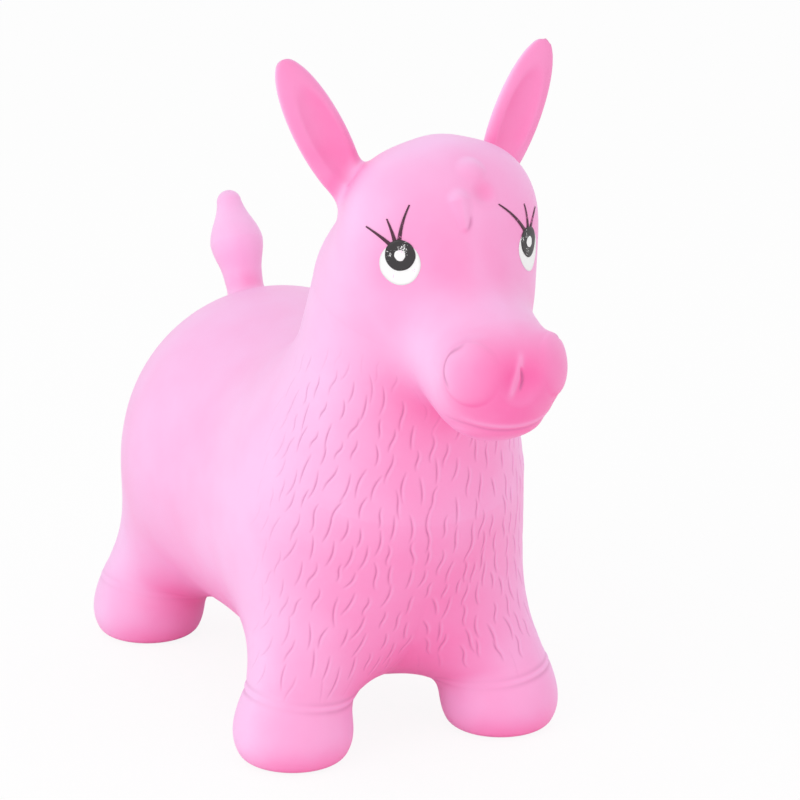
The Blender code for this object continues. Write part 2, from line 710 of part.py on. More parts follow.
def make_valve():
    """The flanged bush in the belly, and the ribbed plug that is pushed into it from below."""
    hole = BUSH_RADIUS + CUT_GAP
    seat_radius = FLANGE_RADIUS + CUT_GAP
    seat = -FLANGE_SINK
    top, low = BUSH_LENGTH, -BUSH_LENGTH
    hole_profile = [
        (0, top),
        (hole, top),
        (hole, seat),
        (seat_radius, seat),
        (seat_radius, low),
        (0, low),
    ]
    cutter = turned("valve_hole", hole_profile, helpers)
    flange_top = seat - CUT_GAP
    low = flange_top - FLANGE_THICKNESS
    bush_profile = [
        (BUSH_BORE, BUSH_LENGTH),
        (BUSH_RADIUS, BUSH_LENGTH),
        (BUSH_RADIUS, flange_top),
        (FLANGE_RADIUS, flange_top),
        (FLANGE_RADIUS, low),
        (BUSH_BORE, low),
    ]
    bush = turned("valve_bush", bush_profile, parts)
    head_top = low - CUT_GAP
    rib = (BUSH_LENGTH - head_top) / (2 * PLUG_RIBS + 1)
    plug_profile = [(0, BUSH_LENGTH), (PLUG_SHANK_RADIUS, BUSH_LENGTH)]
    for count in range(PLUG_RIBS):
        height = BUSH_LENGTH - rib * (2 * count + 1)
        plug_profile.append((PLUG_SHANK_RADIUS, height))
        plug_profile.append((PLUG_RIB_RADIUS, height - rib / 2))
        plug_profile.append((PLUG_SHANK_RADIUS, height - rib))
    head_bottom = head_top - PLUG_HEAD_THICKNESS
    plug_profile.append((PLUG_SHANK_RADIUS, head_top))
    plug_profile.append((PLUG_HEAD_RADIUS, head_top))
    plug_profile.append((PLUG_HEAD_RADIUS, head_bottom))
    plug_profile.append((0, head_bottom))
    plug = turned("valve_plug", plug_profile, parts)
    for thing, colour in ((bush, VALVE_PINK), (plug, PLUG_WHITE)):
        thing.data.materials.append(material(thing.name, colour, SHEEN_ROUGHNESS))
    return cutter


def main():
    outer, skin = make_forms()
    head, neck_start = make_head(outer, skin)
    axis = Vector(NECK_NORMAL_SHARES).normalized()
    neck_middle = Vector((0, NECK_BEND_Y, NECK_BEND_Z)) + axis * NECK_BEND_LENGTH / 2
    carried = [head["head"], head["right_ear_root"], head["left_ear_root"], *make_eyes()]
    pivot("head_pivot", neck_middle, *carried)
    for name, side in SIDES.items():
        place, _ = ear_plane(side, EAR_BEND_START + EAR_BEND_LENGTH / 2)
        pivot(f"{name}_ear_pivot", place, head[f"{name}_ear"])
    trunk_ends = [neck_start, make_tail(skin), *make_legs(skin), make_valve()]
    piece("trunk_skin", skin, TRUNK_PINK, [("DIFFERENCE", end) for end in trunk_ends])


for thing in list(bpy.data.objects):
    bpy.data.objects.remove(thing)
parts = collection("Ride_on_horse", shown=True)
helpers = collection("Cutters", shown=False)
main()
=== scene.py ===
"""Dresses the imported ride-on horse: its moulded soft skin with engraved hair, its printed eyes, its
air valve and a plain white studio. The horse faces -Y, and +X is its left side. Metres.
"""

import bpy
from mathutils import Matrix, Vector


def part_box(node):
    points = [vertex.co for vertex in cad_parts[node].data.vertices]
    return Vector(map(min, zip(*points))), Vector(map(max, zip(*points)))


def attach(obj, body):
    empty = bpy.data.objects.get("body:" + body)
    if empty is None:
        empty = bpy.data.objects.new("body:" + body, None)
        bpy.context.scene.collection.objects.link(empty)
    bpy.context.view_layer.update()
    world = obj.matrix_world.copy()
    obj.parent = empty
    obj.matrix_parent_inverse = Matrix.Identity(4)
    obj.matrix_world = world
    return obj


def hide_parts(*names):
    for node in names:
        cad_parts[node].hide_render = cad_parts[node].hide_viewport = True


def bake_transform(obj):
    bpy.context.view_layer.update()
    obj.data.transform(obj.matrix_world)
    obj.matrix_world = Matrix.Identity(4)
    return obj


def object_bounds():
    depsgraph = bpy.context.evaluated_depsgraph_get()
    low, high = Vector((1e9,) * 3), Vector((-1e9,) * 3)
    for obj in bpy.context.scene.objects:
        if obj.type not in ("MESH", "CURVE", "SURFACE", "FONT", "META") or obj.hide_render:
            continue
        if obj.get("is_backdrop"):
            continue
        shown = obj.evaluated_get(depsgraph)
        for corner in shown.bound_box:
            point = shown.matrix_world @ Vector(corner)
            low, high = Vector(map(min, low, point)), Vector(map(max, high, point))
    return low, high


bl_info = {
    "name": "Ride-on horse",
    "version": (1, 0, 0),
    "blender": (4, 5, 0),
    "location": "3D View > Sidebar > Ride-on horse",
    "description": "Makes the skin, eyes and valve of an air-filled ride-on horse, and its studio",
    "category": "Object",
}

from contextlib import contextmanager
from itertools import product
from math import cos, pi, radians, sin

import bmesh
import bpy
import numpy as np
from bpy.props import FloatProperty, FloatVectorProperty, IntProperty, PointerProperty
from mathutils import Quaternion, Vector
from mathutils.kdtree import KDTree

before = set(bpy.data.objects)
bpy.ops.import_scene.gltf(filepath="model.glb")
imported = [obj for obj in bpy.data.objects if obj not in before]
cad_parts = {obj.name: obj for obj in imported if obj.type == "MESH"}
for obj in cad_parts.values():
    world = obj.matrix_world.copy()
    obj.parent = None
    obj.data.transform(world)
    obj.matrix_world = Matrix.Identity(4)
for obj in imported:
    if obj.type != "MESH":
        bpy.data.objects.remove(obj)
cad_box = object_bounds()

MOULDED = "moulded_skin"
SIDES = {"right": -1, "left": 1}


def linear(hex_colour):
    """The linear colour of an sRGB hex value."""
    shares = [int(hex_colour[start : start + 2], 16) / 255 for start in (0, 2, 4)]
    return tuple(c / 12.92 if c <= 0.04045 else ((c + 0.055) / 1.055) ** 2.4 for c in shares)


def length(name, description, default):
    return FloatProperty(
        name=name, description=description, default=default, unit="LENGTH", precision=4
    )


def place(name, description, default):
    return FloatVectorProperty(
        name=name, description=description, default=default, subtype="XYZ", unit="LENGTH", precision=4
    )


def share(name, description, default):
    return FloatProperty(name=name, description=description, default=default, precision=3)


def direction(name, description, default):
    return FloatVectorProperty(name=name, description=description, default=default, subtype="DIRECTION")


def angle(name, description, default):
    return FloatProperty(name=name, description=description, default=radians(default), subtype="ANGLE")


def paint(name, description, hex_colour):
    return FloatVectorProperty(
        name=name, description=description, default=linear(hex_colour), subtype="COLOR", min=0, max=1
    )


class BarrelSizes(bpy.types.PropertyGroup):
    """Rump, chest and the waist between them."""

    rump: place("Rump", "Middle of the rump", (0, 0.148, 0.166))
    rump_radii: place("Rump radii", "Half the rump's sizes", (0.120, 0.1112, 0.123))
    chest: place("Chest", "Middle of the chest", (0, 0.004, 0.163))
    chest_radii: place("Chest radii", "Half the chest's sizes", (0.099, 0.113, 0.126))
    waist_radius: length("Waist radius", "Radius of the waist", 0.1025)
    waist_drop: length("Waist drop", "How far the waist lies below the rump's middle", 0.008)
    blend: length("Blend", "Fillet between rump and chest", 0.070)
    waist_blend: length("Waist blend", "Fillet round the waist", 0.050)


class NeckSizes(bpy.types.PropertyGroup):
    """The neck, and the planes between which it bends."""

    base: place("Base", "Lower end of the neck's line", (0, -0.062, 0.218))
    top: place("Top", "Upper end of the neck's line", (0, -0.102, 0.351))
    base_radius: length("Base radius", "Radius at the lower end", 0.088)
    top_radius: length("Top radius", "Radius at the upper end", 0.075)
    blend: length("Blend", "Fillet between neck and barrel", 0.060)
    bend: place("Bend", "Where the neck starts to bend", (0, -0.048, 0.250))
    bend_way: direction("Bend way", "Across the bending planes", (0, -0.45, 0.89))
    bend_length: length("Bend length", "Length of skin that bends", 0.055)


class HeadSizes(bpy.types.PropertyGroup):
    """Skull, snout and brows."""

    skull: place("Skull", "Middle of the skull", (0, -0.137, 0.3965))
    skull_radii: place("Skull radii", "Half the skull's sizes", (0.066, 0.054, 0.0735))
    blend: length("Blend", "Fillet between head and neck", 0.030)
    snout: place("Snout", "Where the snout starts", (0, -0.138, 0.352))
    snout_radius: length("Snout radius", "Radius where the snout starts", 0.048)
    nose: place("Nose", "Middle of the nose", (0, -0.221, 0.322))
    nose_radius: length("Nose radius", "Radius of the nose", 0.0458)
    snout_blend: length("Snout blend", "Fillet between snout and skull", 0.035)
    muzzle: place("Muzzle", "From the nose to one nostril mound", (0.0175, -0.017, 0.0075))
    muzzle_radius: length("Muzzle radius", "Radius of a nostril mound", 0.0238)
    muzzle_blend: length("Muzzle blend", "Fillet round a nostril mound", 0.010)
    brow: place("Brow", "Middle of the left brow", (0.033, -0.136, 0.412))
    brow_radii: place("Brow radii", "Half a brow's sizes", (0.036, 0.036, 0.045))
    brow_blend: length("Brow blend", "Fillet round a brow", 0.016)


class FaceSizes(bpy.types.PropertyGroup):
    """What is sculpted on the head: nostril pads, lip and forelock."""

    pad: place("Nostril pad", "Middle of the left nostril pad", (0.0322, -0.2485, 0.3340))
    pad_way: direction("Pad way", "The way that the left pad faces", (0.58, -0.78, 0.16))
    pad_radii: place("Pad radii", "A pad's half width, depth and height", (0.0150, 0.0046, 0.0185))
    pad_blend: length("Pad blend", "Fillet round a pad", 0.0075)
    dish: place("Dish", "Middle of the hollow between the pads", (0, -0.2740, 0.3310))
    dish_radii: place("Dish radii", "Half sizes of that hollow", (0.0190, 0.0100, 0.0230))
    lip: place("Lower lip", "Middle of the lower lip", (0, -0.230, 0.2915))
    lip_radii: place("Lip radii", "Half the lip's sizes", (0.0290, 0.0220, 0.0095))
    lip_blend: length("Lip blend", "Fillet round the lip", 0.0060)
    tuft: place("Tuft", "Middle of the forelock's small mound", (0.0065, -0.1690, 0.4510))
    tuft_way: direction("Tuft way", "The way that the mound faces", (0, -0.76, 0.65))
    tuft_radii: place("Tuft radii", "Half width, depth and height", (0.0085, 0.0050, 0.0070))
    lock_root: place("Lock root", "Where the forelock's lock starts", (-0.0070, -0.1795, 0.4330))
    lock_tip: place("Lock tip", "Where the lock ends", (-0.0055, -0.1868, 0.4170))
    lock_radius: length("Lock radius", "Radius where the lock starts", 0.0068)
    lock_tip_radius: length("Lock tip radius", "Radius of its tip", 0.0020)
    curl: place("Curl", "Middle of the hollow beside the lock", (0.0125, -0.1845, 0.4400))
    curl_radii: place("Curl radii", "Half sizes of the hollow", (0.0080, 0.0055, 0.0080))
    blend: length("Blend", "Fillet round the forelock's forms", 0.0045)


class LegSizes(bpy.types.PropertyGroup):
    """Legs, hooves and where the legs bend."""

    front: place("Front foot", "Middle of the left front sole", (0.084, -0.072, 0))
    rear: place("Rear foot", "Middle of the left rear sole", (0.086, 0.219, 0))
    front_thigh: length("Front thigh", "Height of the front thigh's end", 0.133)
    rear_thigh: length("Rear thigh", "Height of the rear thigh's end", 0.130)
    thigh_in: share("Thigh in", "Share of the foot's distance from the middle", 0.480)
    thigh_along: share("Thigh along", "Share of the foot's distance along the horse", 0.82)
    thigh_radius: length("Thigh radius", "Radius at the thigh", 0.050)
    ankle_radius: length("Ankle radius", "Radius at the ankle", 0.0370)
    ankle_rise: length("Ankle rise", "Height of the ankle above the hoof's middle", 0.021)
    blend: length("Blend", "Fillet between leg and barrel", 0.045)
    hoof_height: length("Hoof height", "Height of the hoof's middle", 0.020)
    hoof_radii: place("Hoof radii", "Half the hoof's sizes", (0.0440, 0.0440, 0.035))
    hoof_blend: length("Hoof blend", "Fillet above the hoof", 0.014)
    sole_blend: length("Sole edge", "Rounding of the sole's edge", 0.006)
    hip_way: direction("Hip way", "Across the left front hip plane", (0.60, -0.35, -0.72))
    hip_reach: length("Hip reach", "From the hip plane to the sole", 0.085)
    press_reach: length("Press reach", "Length of leg that gives when the foot is pressed", 0.055)


class EarSizes(bpy.types.PropertyGroup):
    """The left ear; the right one mirrors it."""

    root: place("Root", "Root of the ear's line", (0.053, -0.108, 0.426))
    tip: place("Tip", "Tip of the ear", (0.097, -0.096, 0.514))
    half_width: length("Half width", "Half the leaf's width", 0.0185)
    half_thickness: length("Half thickness", "Half the leaf's thickness", 0.0085)
    overlength: share("Overlength", "Leaf's half length as a share of its line", 0.60)
    hollow_depth: length("Hollow depth", "Depth of the hollow front", 0.0050)
    hollow_width: share("Hollow width", "As a share of the leaf's width", 0.82)
    hollow_shift: length("Hollow shift", "How far the hollow lies towards the head", 0.0020)
    hollow_length: share("Hollow length", "As a share of the leaf's length", 0.86)
    hollow_blend: length("Hollow blend", "Rounding of the rim's inner edge", 0.0016)
    blend: length("Blend", "Fillet round the ear's root", 0.012)
    bend_start: length("Bend start", "From the root to where the ear bends", 0.024)
    bend_length: length("Bend length", "Length of ear that bends", 0.014)


class TailSizes(bpy.types.PropertyGroup):
    """The tail, a short spindle."""

    root: place("Root", "Root of the tail's line", (0, 0.212, 0.260))
    tip: place("Tip", "End of the tail's line", (0, 0.253, 0.338))
    root_radius: length("Root radius", "Radius at the root", 0.0130)
    middle_radius: length("Middle radius", "Greatest radius", 0.0178)
    tip_radius: length("Tip radius", "Radius at the tip", 0.0098)
    middle: share("Middle", "Share of the line where it is thickest", 0.634)
    swell_blend: length("Swell blend", "Fillet at the thickest place", 0.013)
    blend: length("Blend", "Fillet round the root", 0.012)
    bend_start: length("Bend start", "From the root to where the tail bends", 0.010)
    bend_length: length("Bend length", "Length of tail that bends", 0.014)


class HairSizes(bpy.types.PropertyGroup):
    """The short engraved strokes of the coat."""

    spacing: length("Spacing", "Between strokes side by side", 0.0102)
    row: length("Row", "Between strokes one below another", 0.0162)
    stroke: length("Stroke", "Length of a stroke", 0.0200)
    depth: length("Depth", "Depth of a stroke", 0.0007)
    width: length("Width", "Half width of a stroke", 0.00065)
    lip: length("Lip", "From a stroke to its raised lip", 0.0018)
    lean: angle("Lean", "How far strokes on the side lean to the rear", 20)
    wave: angle("Wave", "How far a stroke swings to either side", 15)
    seed: IntProperty(name="Seed", description="Seed of the strokes' places", default=7)


class MeshSizes(bpy.types.PropertyGroup):
    """Fineness of the skin."""

    rough: length("Rough", "First mesh", 0.005)
    even: length("Even", "Squares of the smooth skin", 0.003)


class EyeSizes(bpy.types.PropertyGroup):
    """Printed eyes."""

    across: length("Across", "From the middle plane to an eye", 0.049)
    height: length("Height", "Height of an eye", 0.3928)
    turn: angle("Turn", "How far an eye is turned from straight ahead", 36)
    white_radius: length("White radius", "Radius of the white print", 0.0145)
    iris_radius: length("Iris radius", "Radius of the black print", 0.0106)
    iris_rise: length("Iris rise", "How far the iris lies above the white's middle", 0.0060)
    highlight_radius: length("Highlight radius", "Radius of the white highlight", 0.0038)
    lash_width: length("Lash width", "Width of a lash at the iris", 0.0030)
    lash_tip_width: length("Lash tip width", "Width of a lash at its tip", 0.0010)
    film: length("Film", "Thickness of a print", 0.00012)


class ValveSizes(bpy.types.PropertyGroup):
    """Air valve in the belly; its heights come from the solids."""

    along: length("Along", "Place along the horse", 0.082)
    radius: length("Radius", "Radius of the bush", 0.0080)
    bore: length("Bore", "Radius of the bush's hole", 0.0045)
    flange_radius: length("Flange radius", "Radius of the bush's flange", 0.0120)
    flange_thickness: length("Flange thickness", "Thickness of the flange", 0.0015)
    lip: length("Lip", "Bevel of the flange's edges", 0.0005)
    head_radius: length("Head radius", "Radius of the plug's head", 0.0075)
    head_thickness: length("Head thickness", "Thickness of the plug's head", 0.0020)
    rib_radius: length("Rib radius", "Radius of the plug's ribs", 0.0042)
    shank_radius: length("Shank radius", "Radius of the plug between its ribs", 0.0034)
    ribs: IntProperty(name="Ribs", description="Ribs on the plug", default=3)
    edge: length("Edge", "Rounding of edges", 0.0003)


class Colours(bpy.types.PropertyGroup):
    """Colours of the finishes."""

    # The skin pinks carry painted shade: pale on open, upward faces, the middle pink on forward faces
    # and the hottest pink in folds and on lower faces; pale also paints the highlight on the strokes'
    # raised lips
    pale: paint("Pale pink", "Skin on open, upper faces", "FFC8F4")
    middle: paint("Middle pink", "Skin on the front", "FF9DD3")
    painted_shade_pink: paint("Hot pink", "Skin in folds and on lower faces", "FF58A8")
    # Painted shade at the bottom of the engraved strokes; also the valve bush's own even pink and what
    # shows where lash ink is worn
    groove: paint("Groove pink", "Bottom of the engraved strokes", "C0649A")
    white_print: paint("White print", "Eye whites and highlights", "FAFBFA")
    black_print: paint("Black print", "Iris and lashes", "2E2A2C")
    lash_print: paint("Lash print", "Thin ends of the lashes", "4A1834")
    plug: paint("Plug", "Valve plug", "F2F1EE")
    sweep: paint("Sweep", "Studio floor", "FFFFFF")


class StageSizes(bpy.types.PropertyGroup):
    """Camera, lamps and floor."""

    camera: place("Camera", "Camera's place", (-0.99838, -2.22192, 0.96793))
    aim: place("Aim", "What the camera looks at", (0.03130, -0.00540, 0.24039))
    roll: angle("Roll", "The camera's roll", 0.39)
    lens: FloatProperty(name="Lens", description="Focal length in mm", default=154.4)
    floor: length("Floor", "Width of the floor", 12.0)
    key: place("Key lamp", "Place of the large lamp", (-2.4, -1.0, 1.7))
    fill: place("Fill lamp", "Place of the weaker lamp", (1.6, -2.4, 1.0))
    lamp_size: length("Lamp size", "Width of a lamp", 1.8)
    key_power: FloatProperty(
        name="Key power", description="Power of the large lamp in watts", default=18
    )
    fill_power: FloatProperty(
        name="Fill power", description="Power of the weaker lamp in watts", default=5
    )
    room: FloatProperty(name="Room light", description="Strength of the even light", default=0.80)


GROUPS = {
    "barrel": BarrelSizes,
    "neck": NeckSizes,
    "head": HeadSizes,
    "face": FaceSizes,
    "legs": LegSizes,
    "ears": EarSizes,
    "tail": TailSizes,
    "hair": HairSizes,
    "mesh": MeshSizes,
    "eyes": EyeSizes,
    "valve": ValveSizes,
    "colours": Colours,
    "stage": StageSizes,
}


class HorseSettings(bpy.types.PropertyGroup):
    """All sizes and colours of the horse."""

    __annotations__ = {name: PointerProperty(type=group) for name, group in GROUPS.items()}


def settings():
    return bpy.context.scene.ride_on_horse


def mirror(side):
    """Turns a place on the left side into the one on this side."""
    return Vector((side, 1, 1))


def new_object(name, data):
    """An object of this data, in the scene."""
    thing = bpy.data.objects.new(name, data)
    bpy.context.scene.collection.objects.link(thing)
    return thing


@contextmanager
def edited(mesh):
    """The mesh as a bmesh, which is written back at the end."""
    form = bmesh.new()
    form.from_mesh(mesh)
    yield form
    form.to_mesh(mesh)
    form.free()


# The skin's shape, as distance fields

# Keeps a division from being one by nothing
SMALLEST_SHARE = 1e-6
# How far apart the places are that tell a slope, and the least slope that a step reckons with
SLOPE_STEP = 0.0002
LEAST_STEEPNESS = 0.5
SETTLE_ROUNDS = 5
# Past the horse on every side, and how far beyond its fillet a small form is still worked out
FAR = 1.0
NEAR_MARGIN = 0.010


def smooth_union(a, b, reach):
    """The union of two distance fields, with a fillet that starts where they differ by reach."""
    part = np.clip(0.5 + 0.5 * (b - a) / reach, 0, 1)
    return b + (a - b) * part - reach * part * (1 - part)


def carved(a, b, reach):
    """The first field without what lies in the second, with a rounded edge."""
    return -smooth_union(-a, b, reach)


def size_of(offsets):
    """Lengths of offsets that are given as three rows."""
    return np.sqrt(offsets[0] ** 2 + offsets[1] ** 2 + offsets[2] ** 2)


def column(spot):
    return np.array(spot, float)[:, None]


def lobe(p, middle, radii):
    """Distance to an ellipsoid, true near its surface. The places are rows of x, y and z."""
    offset = p - column(middle)
    size = size_of(offset / column(radii))
    slope = size_of(offset / column(radii) ** 2)
    return size * (size - 1) / np.maximum(slope, SMALLEST_SHARE / max(radii))


def limb(p, start, end, start_radius, end_radius):
    """Distance to a round-ended limb whose radius changes evenly from start to end."""
    along = column(end) - column(start)
    offset = p - column(start)
    part = np.clip((offset * along).sum(axis=0) / (along**2).sum(), 0, 1)
    return size_of(offset - part * along) - start_radius - (end_radius - start_radius) * part


def facing_lobe(p, middle, way, radii):
    """Distance to an ellipsoid whose short side faces a given way: radii are across, out and up."""
    out = Vector(way).normalized()
    across = out.cross(Vector((0, 0, 1))).normalized()
    axes = np.array((across, out, across.cross(out)))
    return lobe(axes @ (p - column(middle)), (0, 0, 0), radii)


def one_sided(p):
    return np.vstack((np.abs(p[:1]), p[1:]))


def feet():
    """(end name, sole and thigh of the left leg at that end)."""
    legs = settings().legs
    middle_y = (legs.front[1] + legs.rear[1]) / 2
    for end, sole, height in (
        ("front", legs.front, legs.front_thigh),
        ("rear", legs.rear, legs.rear_thigh),
    ):
        thigh_y = middle_y + (sole[1] - middle_y) * legs.thigh_along
        yield end, Vector(sole), Vector((sole[0] * legs.thigh_in, thigh_y, height))


def barrel_field(p):
    """Rump, chest, waist and neck."""
    sizes = settings().barrel
    rump = lobe(p, sizes.rump, sizes.rump_radii)
    skin = smooth_union(rump, lobe(p, sizes.chest, sizes.chest_radii), sizes.blend)
    drop = Vector((0, 0, sizes.waist_drop))
    ends = (Vector(sizes.rump) - drop, Vector(sizes.chest) - drop)
    skin = smooth_union(skin, limb(p, *ends, sizes.waist_radius, sizes.waist_radius), sizes.waist_blend)
    neck = settings().neck
    neck_limb = limb(p, neck.base, neck.top, neck.base_radius, neck.top_radius)
    return smooth_union(skin, neck_limb, neck.blend)


def leg_field(p, sole, thigh):
    legs = settings().legs
    ankle = sole + Vector((0, 0, legs.hoof_height + legs.ankle_rise))
    return limb(one_sided(p), ankle, thigh, legs.ankle_radius, legs.thigh_radius)


def hoof_field(p, sole):
    legs = settings().legs
    return lobe(one_sided(p), sole + Vector((0, 0, legs.hoof_height)), legs.hoof_radii)


def head_field(p):
    """Skull, snout, nostril mounds, brows, and what is sculpted on them."""
    sizes, face = settings().head, settings().face
    half = one_sided(p)
    snout = limb(p, sizes.snout, sizes.nose, sizes.snout_radius, sizes.nose_radius)
    mound = Vector(sizes.nose) + Vector(sizes.muzzle)
    snout = smooth_union(snout, lobe(half, mound, (sizes.muzzle_radius,) * 3), sizes.muzzle_blend)
    head = smooth_union(lobe(p, sizes.skull, sizes.skull_radii), snout, sizes.snout_blend)
    head = smooth_union(head, lobe(half, sizes.brow, sizes.brow_radii), sizes.brow_blend)
    head = smooth_union(head, facing_lobe(half, face.pad, face.pad_way, face.pad_radii), face.pad_blend)
    head = carved(head, lobe(p, face.dish, face.dish_radii), face.blend)
    head = smooth_union(head, lobe(p, face.lip, face.lip_radii), face.lip_blend)
    head = smooth_union(head, facing_lobe(p, face.tuft, face.tuft_way, face.tuft_radii), face.blend)
    lock = limb(p, face.lock_root, face.lock_tip, face.lock_radius, face.lock_tip_radius)
    head = smooth_union(head, lock, face.blend)
    return carved(head, lobe(p, face.curl, face.curl_radii), face.blend)


def tail_field(p):
    """A short spindle."""
    sizes = settings().tail
    root, tip = Vector(sizes.root), Vector(sizes.tip)
    middle = root.lerp(tip, sizes.middle)
    lower = limb(p, root, middle, sizes.root_radius, sizes.middle_radius)
    upper = limb(p, middle, tip, sizes.middle_radius, sizes.tip_radius)
    return smooth_union(lower, upper, sizes.swell_blend)


def ear_frame():
    """Root of the left ear, and the ear's own axes: across, towards its front, and to its tip."""
    sizes = settings().ears
    root = Vector(sizes.root)
    to_tip = Vector(sizes.tip) - root
    up = to_tip.normalized()
    across = up.cross(Vector((0, -1, 0))).normalized()
    return root, across, across.cross(up), up, to_tip.length


def ear_field(p):
    """Both ears: leaves whose fronts are hollow inside their rims."""
    sizes = settings().ears
    root, across, ahead, up, reach = ear_frame()
    local = np.array((across, ahead, up)) @ (one_sided(p) - column(root))
    half_length = sizes.overlength * reach
    middle = (0, 0, reach / 2)
    leaf = lobe(local, middle, (sizes.half_width, sizes.half_thickness, half_length))
    before = (-sizes.hollow_shift, 2 * sizes.half_thickness - sizes.hollow_depth, reach / 2)
    hollow_width = sizes.half_width * sizes.hollow_width
    hollow = lobe(local, before, (hollow_width, sizes.half_thickness, half_length * sizes.hollow_length))
    return carved(leaf, hollow, sizes.hollow_blend)


def skin_field(points, margin=NEAR_MARGIN):
    """Distance to the outer face of the whole skin, with flat soles. Each small form is worked out
    only where it, its fillet and a margin reach."""
    whole = settings()
    legs, head, tail, ears = whole.legs, whole.head, whole.tail, whole.ears
    p = np.ascontiguousarray(points.T)
    skin = barrel_field(p)

    def join(low, high, field, blend):
        low = column(low) - blend - margin
        high = column(high) + blend + margin
        near = ((p > low) & (p < high)).all(axis=0)
        skin[near] = smooth_union(skin[near], field(p[:, near]), blend)

    for _, sole, thigh in feet():
        low = (-FAR, min(sole.y, thigh.y) - legs.thigh_radius, -FAR)
        high = (FAR, max(sole.y, thigh.y) + legs.thigh_radius, thigh.z + legs.thigh_radius)
        join(low, high, lambda q: leg_field(q, sole, thigh), legs.blend)
        high = (FAR, high[1], legs.hoof_height + legs.hoof_radii[2])
        join(low, high, lambda q: hoof_field(q, sole), legs.hoof_blend)
    low = (-FAR, -FAR, head.nose[2] - head.nose_radius)
    join(low, (FAR, head.skull[1] + head.skull_radii[1], FAR), head_field, head.blend)
    low = (-FAR, tail.root[1] - tail.root_radius, tail.root[2] - tail.root_radius)
    join(low, (FAR,) * 3, tail_field, tail.blend)
    join((-FAR, -FAR, ears.root[2] - ears.half_width), (FAR,) * 3, ear_field, ears.blend)
    return carved(skin, p[2], legs.sole_blend)


def slope_of(field, points):
    """How a distance field grows along each axis, from four near points."""
    corners = np.array(((1, 1, 1), (1, -1, -1), (-1, 1, -1), (-1, -1, 1)), float)
    rises = [field(points + corner * SLOPE_STEP)[:, None] * corner for corner in corners]
    return sum(rises) / (4 * SLOPE_STEP)


def settled(field, points, rounds=SETTLE_ROUNDS):
    """These points, moved down the slope until they lie on the field's face."""
    for _ in range(rounds):
        slope = slope_of(field, points)
        steepness = np.maximum((slope**2).sum(axis=1), LEAST_STEEPNESS)
        points = points - (field(points) / steepness)[:, None] * slope
    return points


def ways_out(points):
    """Unit vectors out of the skin."""
    slope = slope_of(skin_field, points)
    return slope / np.linalg.norm(slope, axis=1)[:, None]


def eased(low, high, values):
    """0 below low, 1 above high, and smooth between."""
    part = np.clip((values - low) / (high - low), 0, 1)
    return part * part * (3 - 2 * part)


# The moulded skin as one mesh

ROUGH_STEPS = 10
BALL_FINENESS = 3
RELAX_ROUNDS = 2
ROUGH_SETTLE_ROUNDS = 3
FINE_SETTLE_ROUNDS = 2
EVEN_ROUNDS = 2
MERGE_DISTANCE = 1e-6
# The skin is finer ahead of the neck's bend, below this share of the waist's radius, and from this
# far before and below the tail's root
NECK_MARGIN = 0.03
LOW_SHARE = 0.75
TAIL_MARGIN = 0.03
TAIL_DROP = 0.02


def rough_lobes():
    """(middle, radii) of rough lobes over the whole horse."""
    whole = settings()
    barrel, neck, head, legs, tail = whole.barrel, whole.neck, whole.head, whole.legs, whole.tail
    yield barrel.rump, barrel.rump_radii
    yield barrel.chest, barrel.chest_radii
    yield neck.base, (neck.base_radius,) * 3
    yield neck.top, (neck.top_radius,) * 3
    yield head.skull, head.skull_radii
    root, across, _, up, reach = ear_frame()
    half_thickness = whole.ears.half_thickness
    for part in np.linspace(0, 1, ROUGH_STEPS):
        yield Vector(head.snout).lerp(head.nose, part), (head.nose_radius,) * 3
        yield Vector(tail.root).lerp(tail.tip, part), (tail.root_radius,) * 3
        spread = (whole.ears.half_width - half_thickness) * (1 - (2 * part - 1) ** 2)
        for shift in (-spread, 0, spread):
            middle = root + up * reach * part + across * shift
            for side in SIDES.values():
                yield middle * mirror(side), (half_thickness,) * 3
    for _, sole, thigh in feet():
        hoof = sole + Vector((0, 0, legs.hoof_height))
        shin = hoof.lerp(thigh, 1 / 2)
        for side in SIDES.values():
            yield hoof * mirror(side), legs.hoof_radii
            yield shin * mirror(side), (legs.ankle_radius, legs.ankle_radius, thigh.z / 2)


def remeshed(mesh, size):
    """The mesh around this one, of even squares."""
    helper = new_object(mesh.name, mesh)
    modifier = helper.modifiers.new("Even squares", "REMESH")
    modifier.mode = "VOXEL"
    modifier.voxel_size = size
    graph = bpy.context.evaluated_depsgraph_get()
    made = bpy.data.meshes.new_from_object(helper.evaluated_get(graph))
    bpy.data.objects.remove(helper)
    bpy.data.meshes.remove(mesh)
    return made


def vertex_places(mesh):
    places = np.empty(len(mesh.vertices) * 3)
    mesh.vertices.foreach_get("co", places)
    return places.reshape(-1, 3)


def set_places(mesh, places):
    mesh.vertices.foreach_set("co", np.asarray(places, np.float32).ravel())
    mesh.update()


def relax(mesh):
    """Evens out a mesh's vertices."""
    every_way = {"use_axis_x": True, "use_axis_y": True, "use_axis_z": True}
    with edited(mesh) as form:
        for _ in range(RELAX_ROUNDS):
            bmesh.ops.smooth_vert(form, verts=form.verts, factor=1 / 2, **every_way)


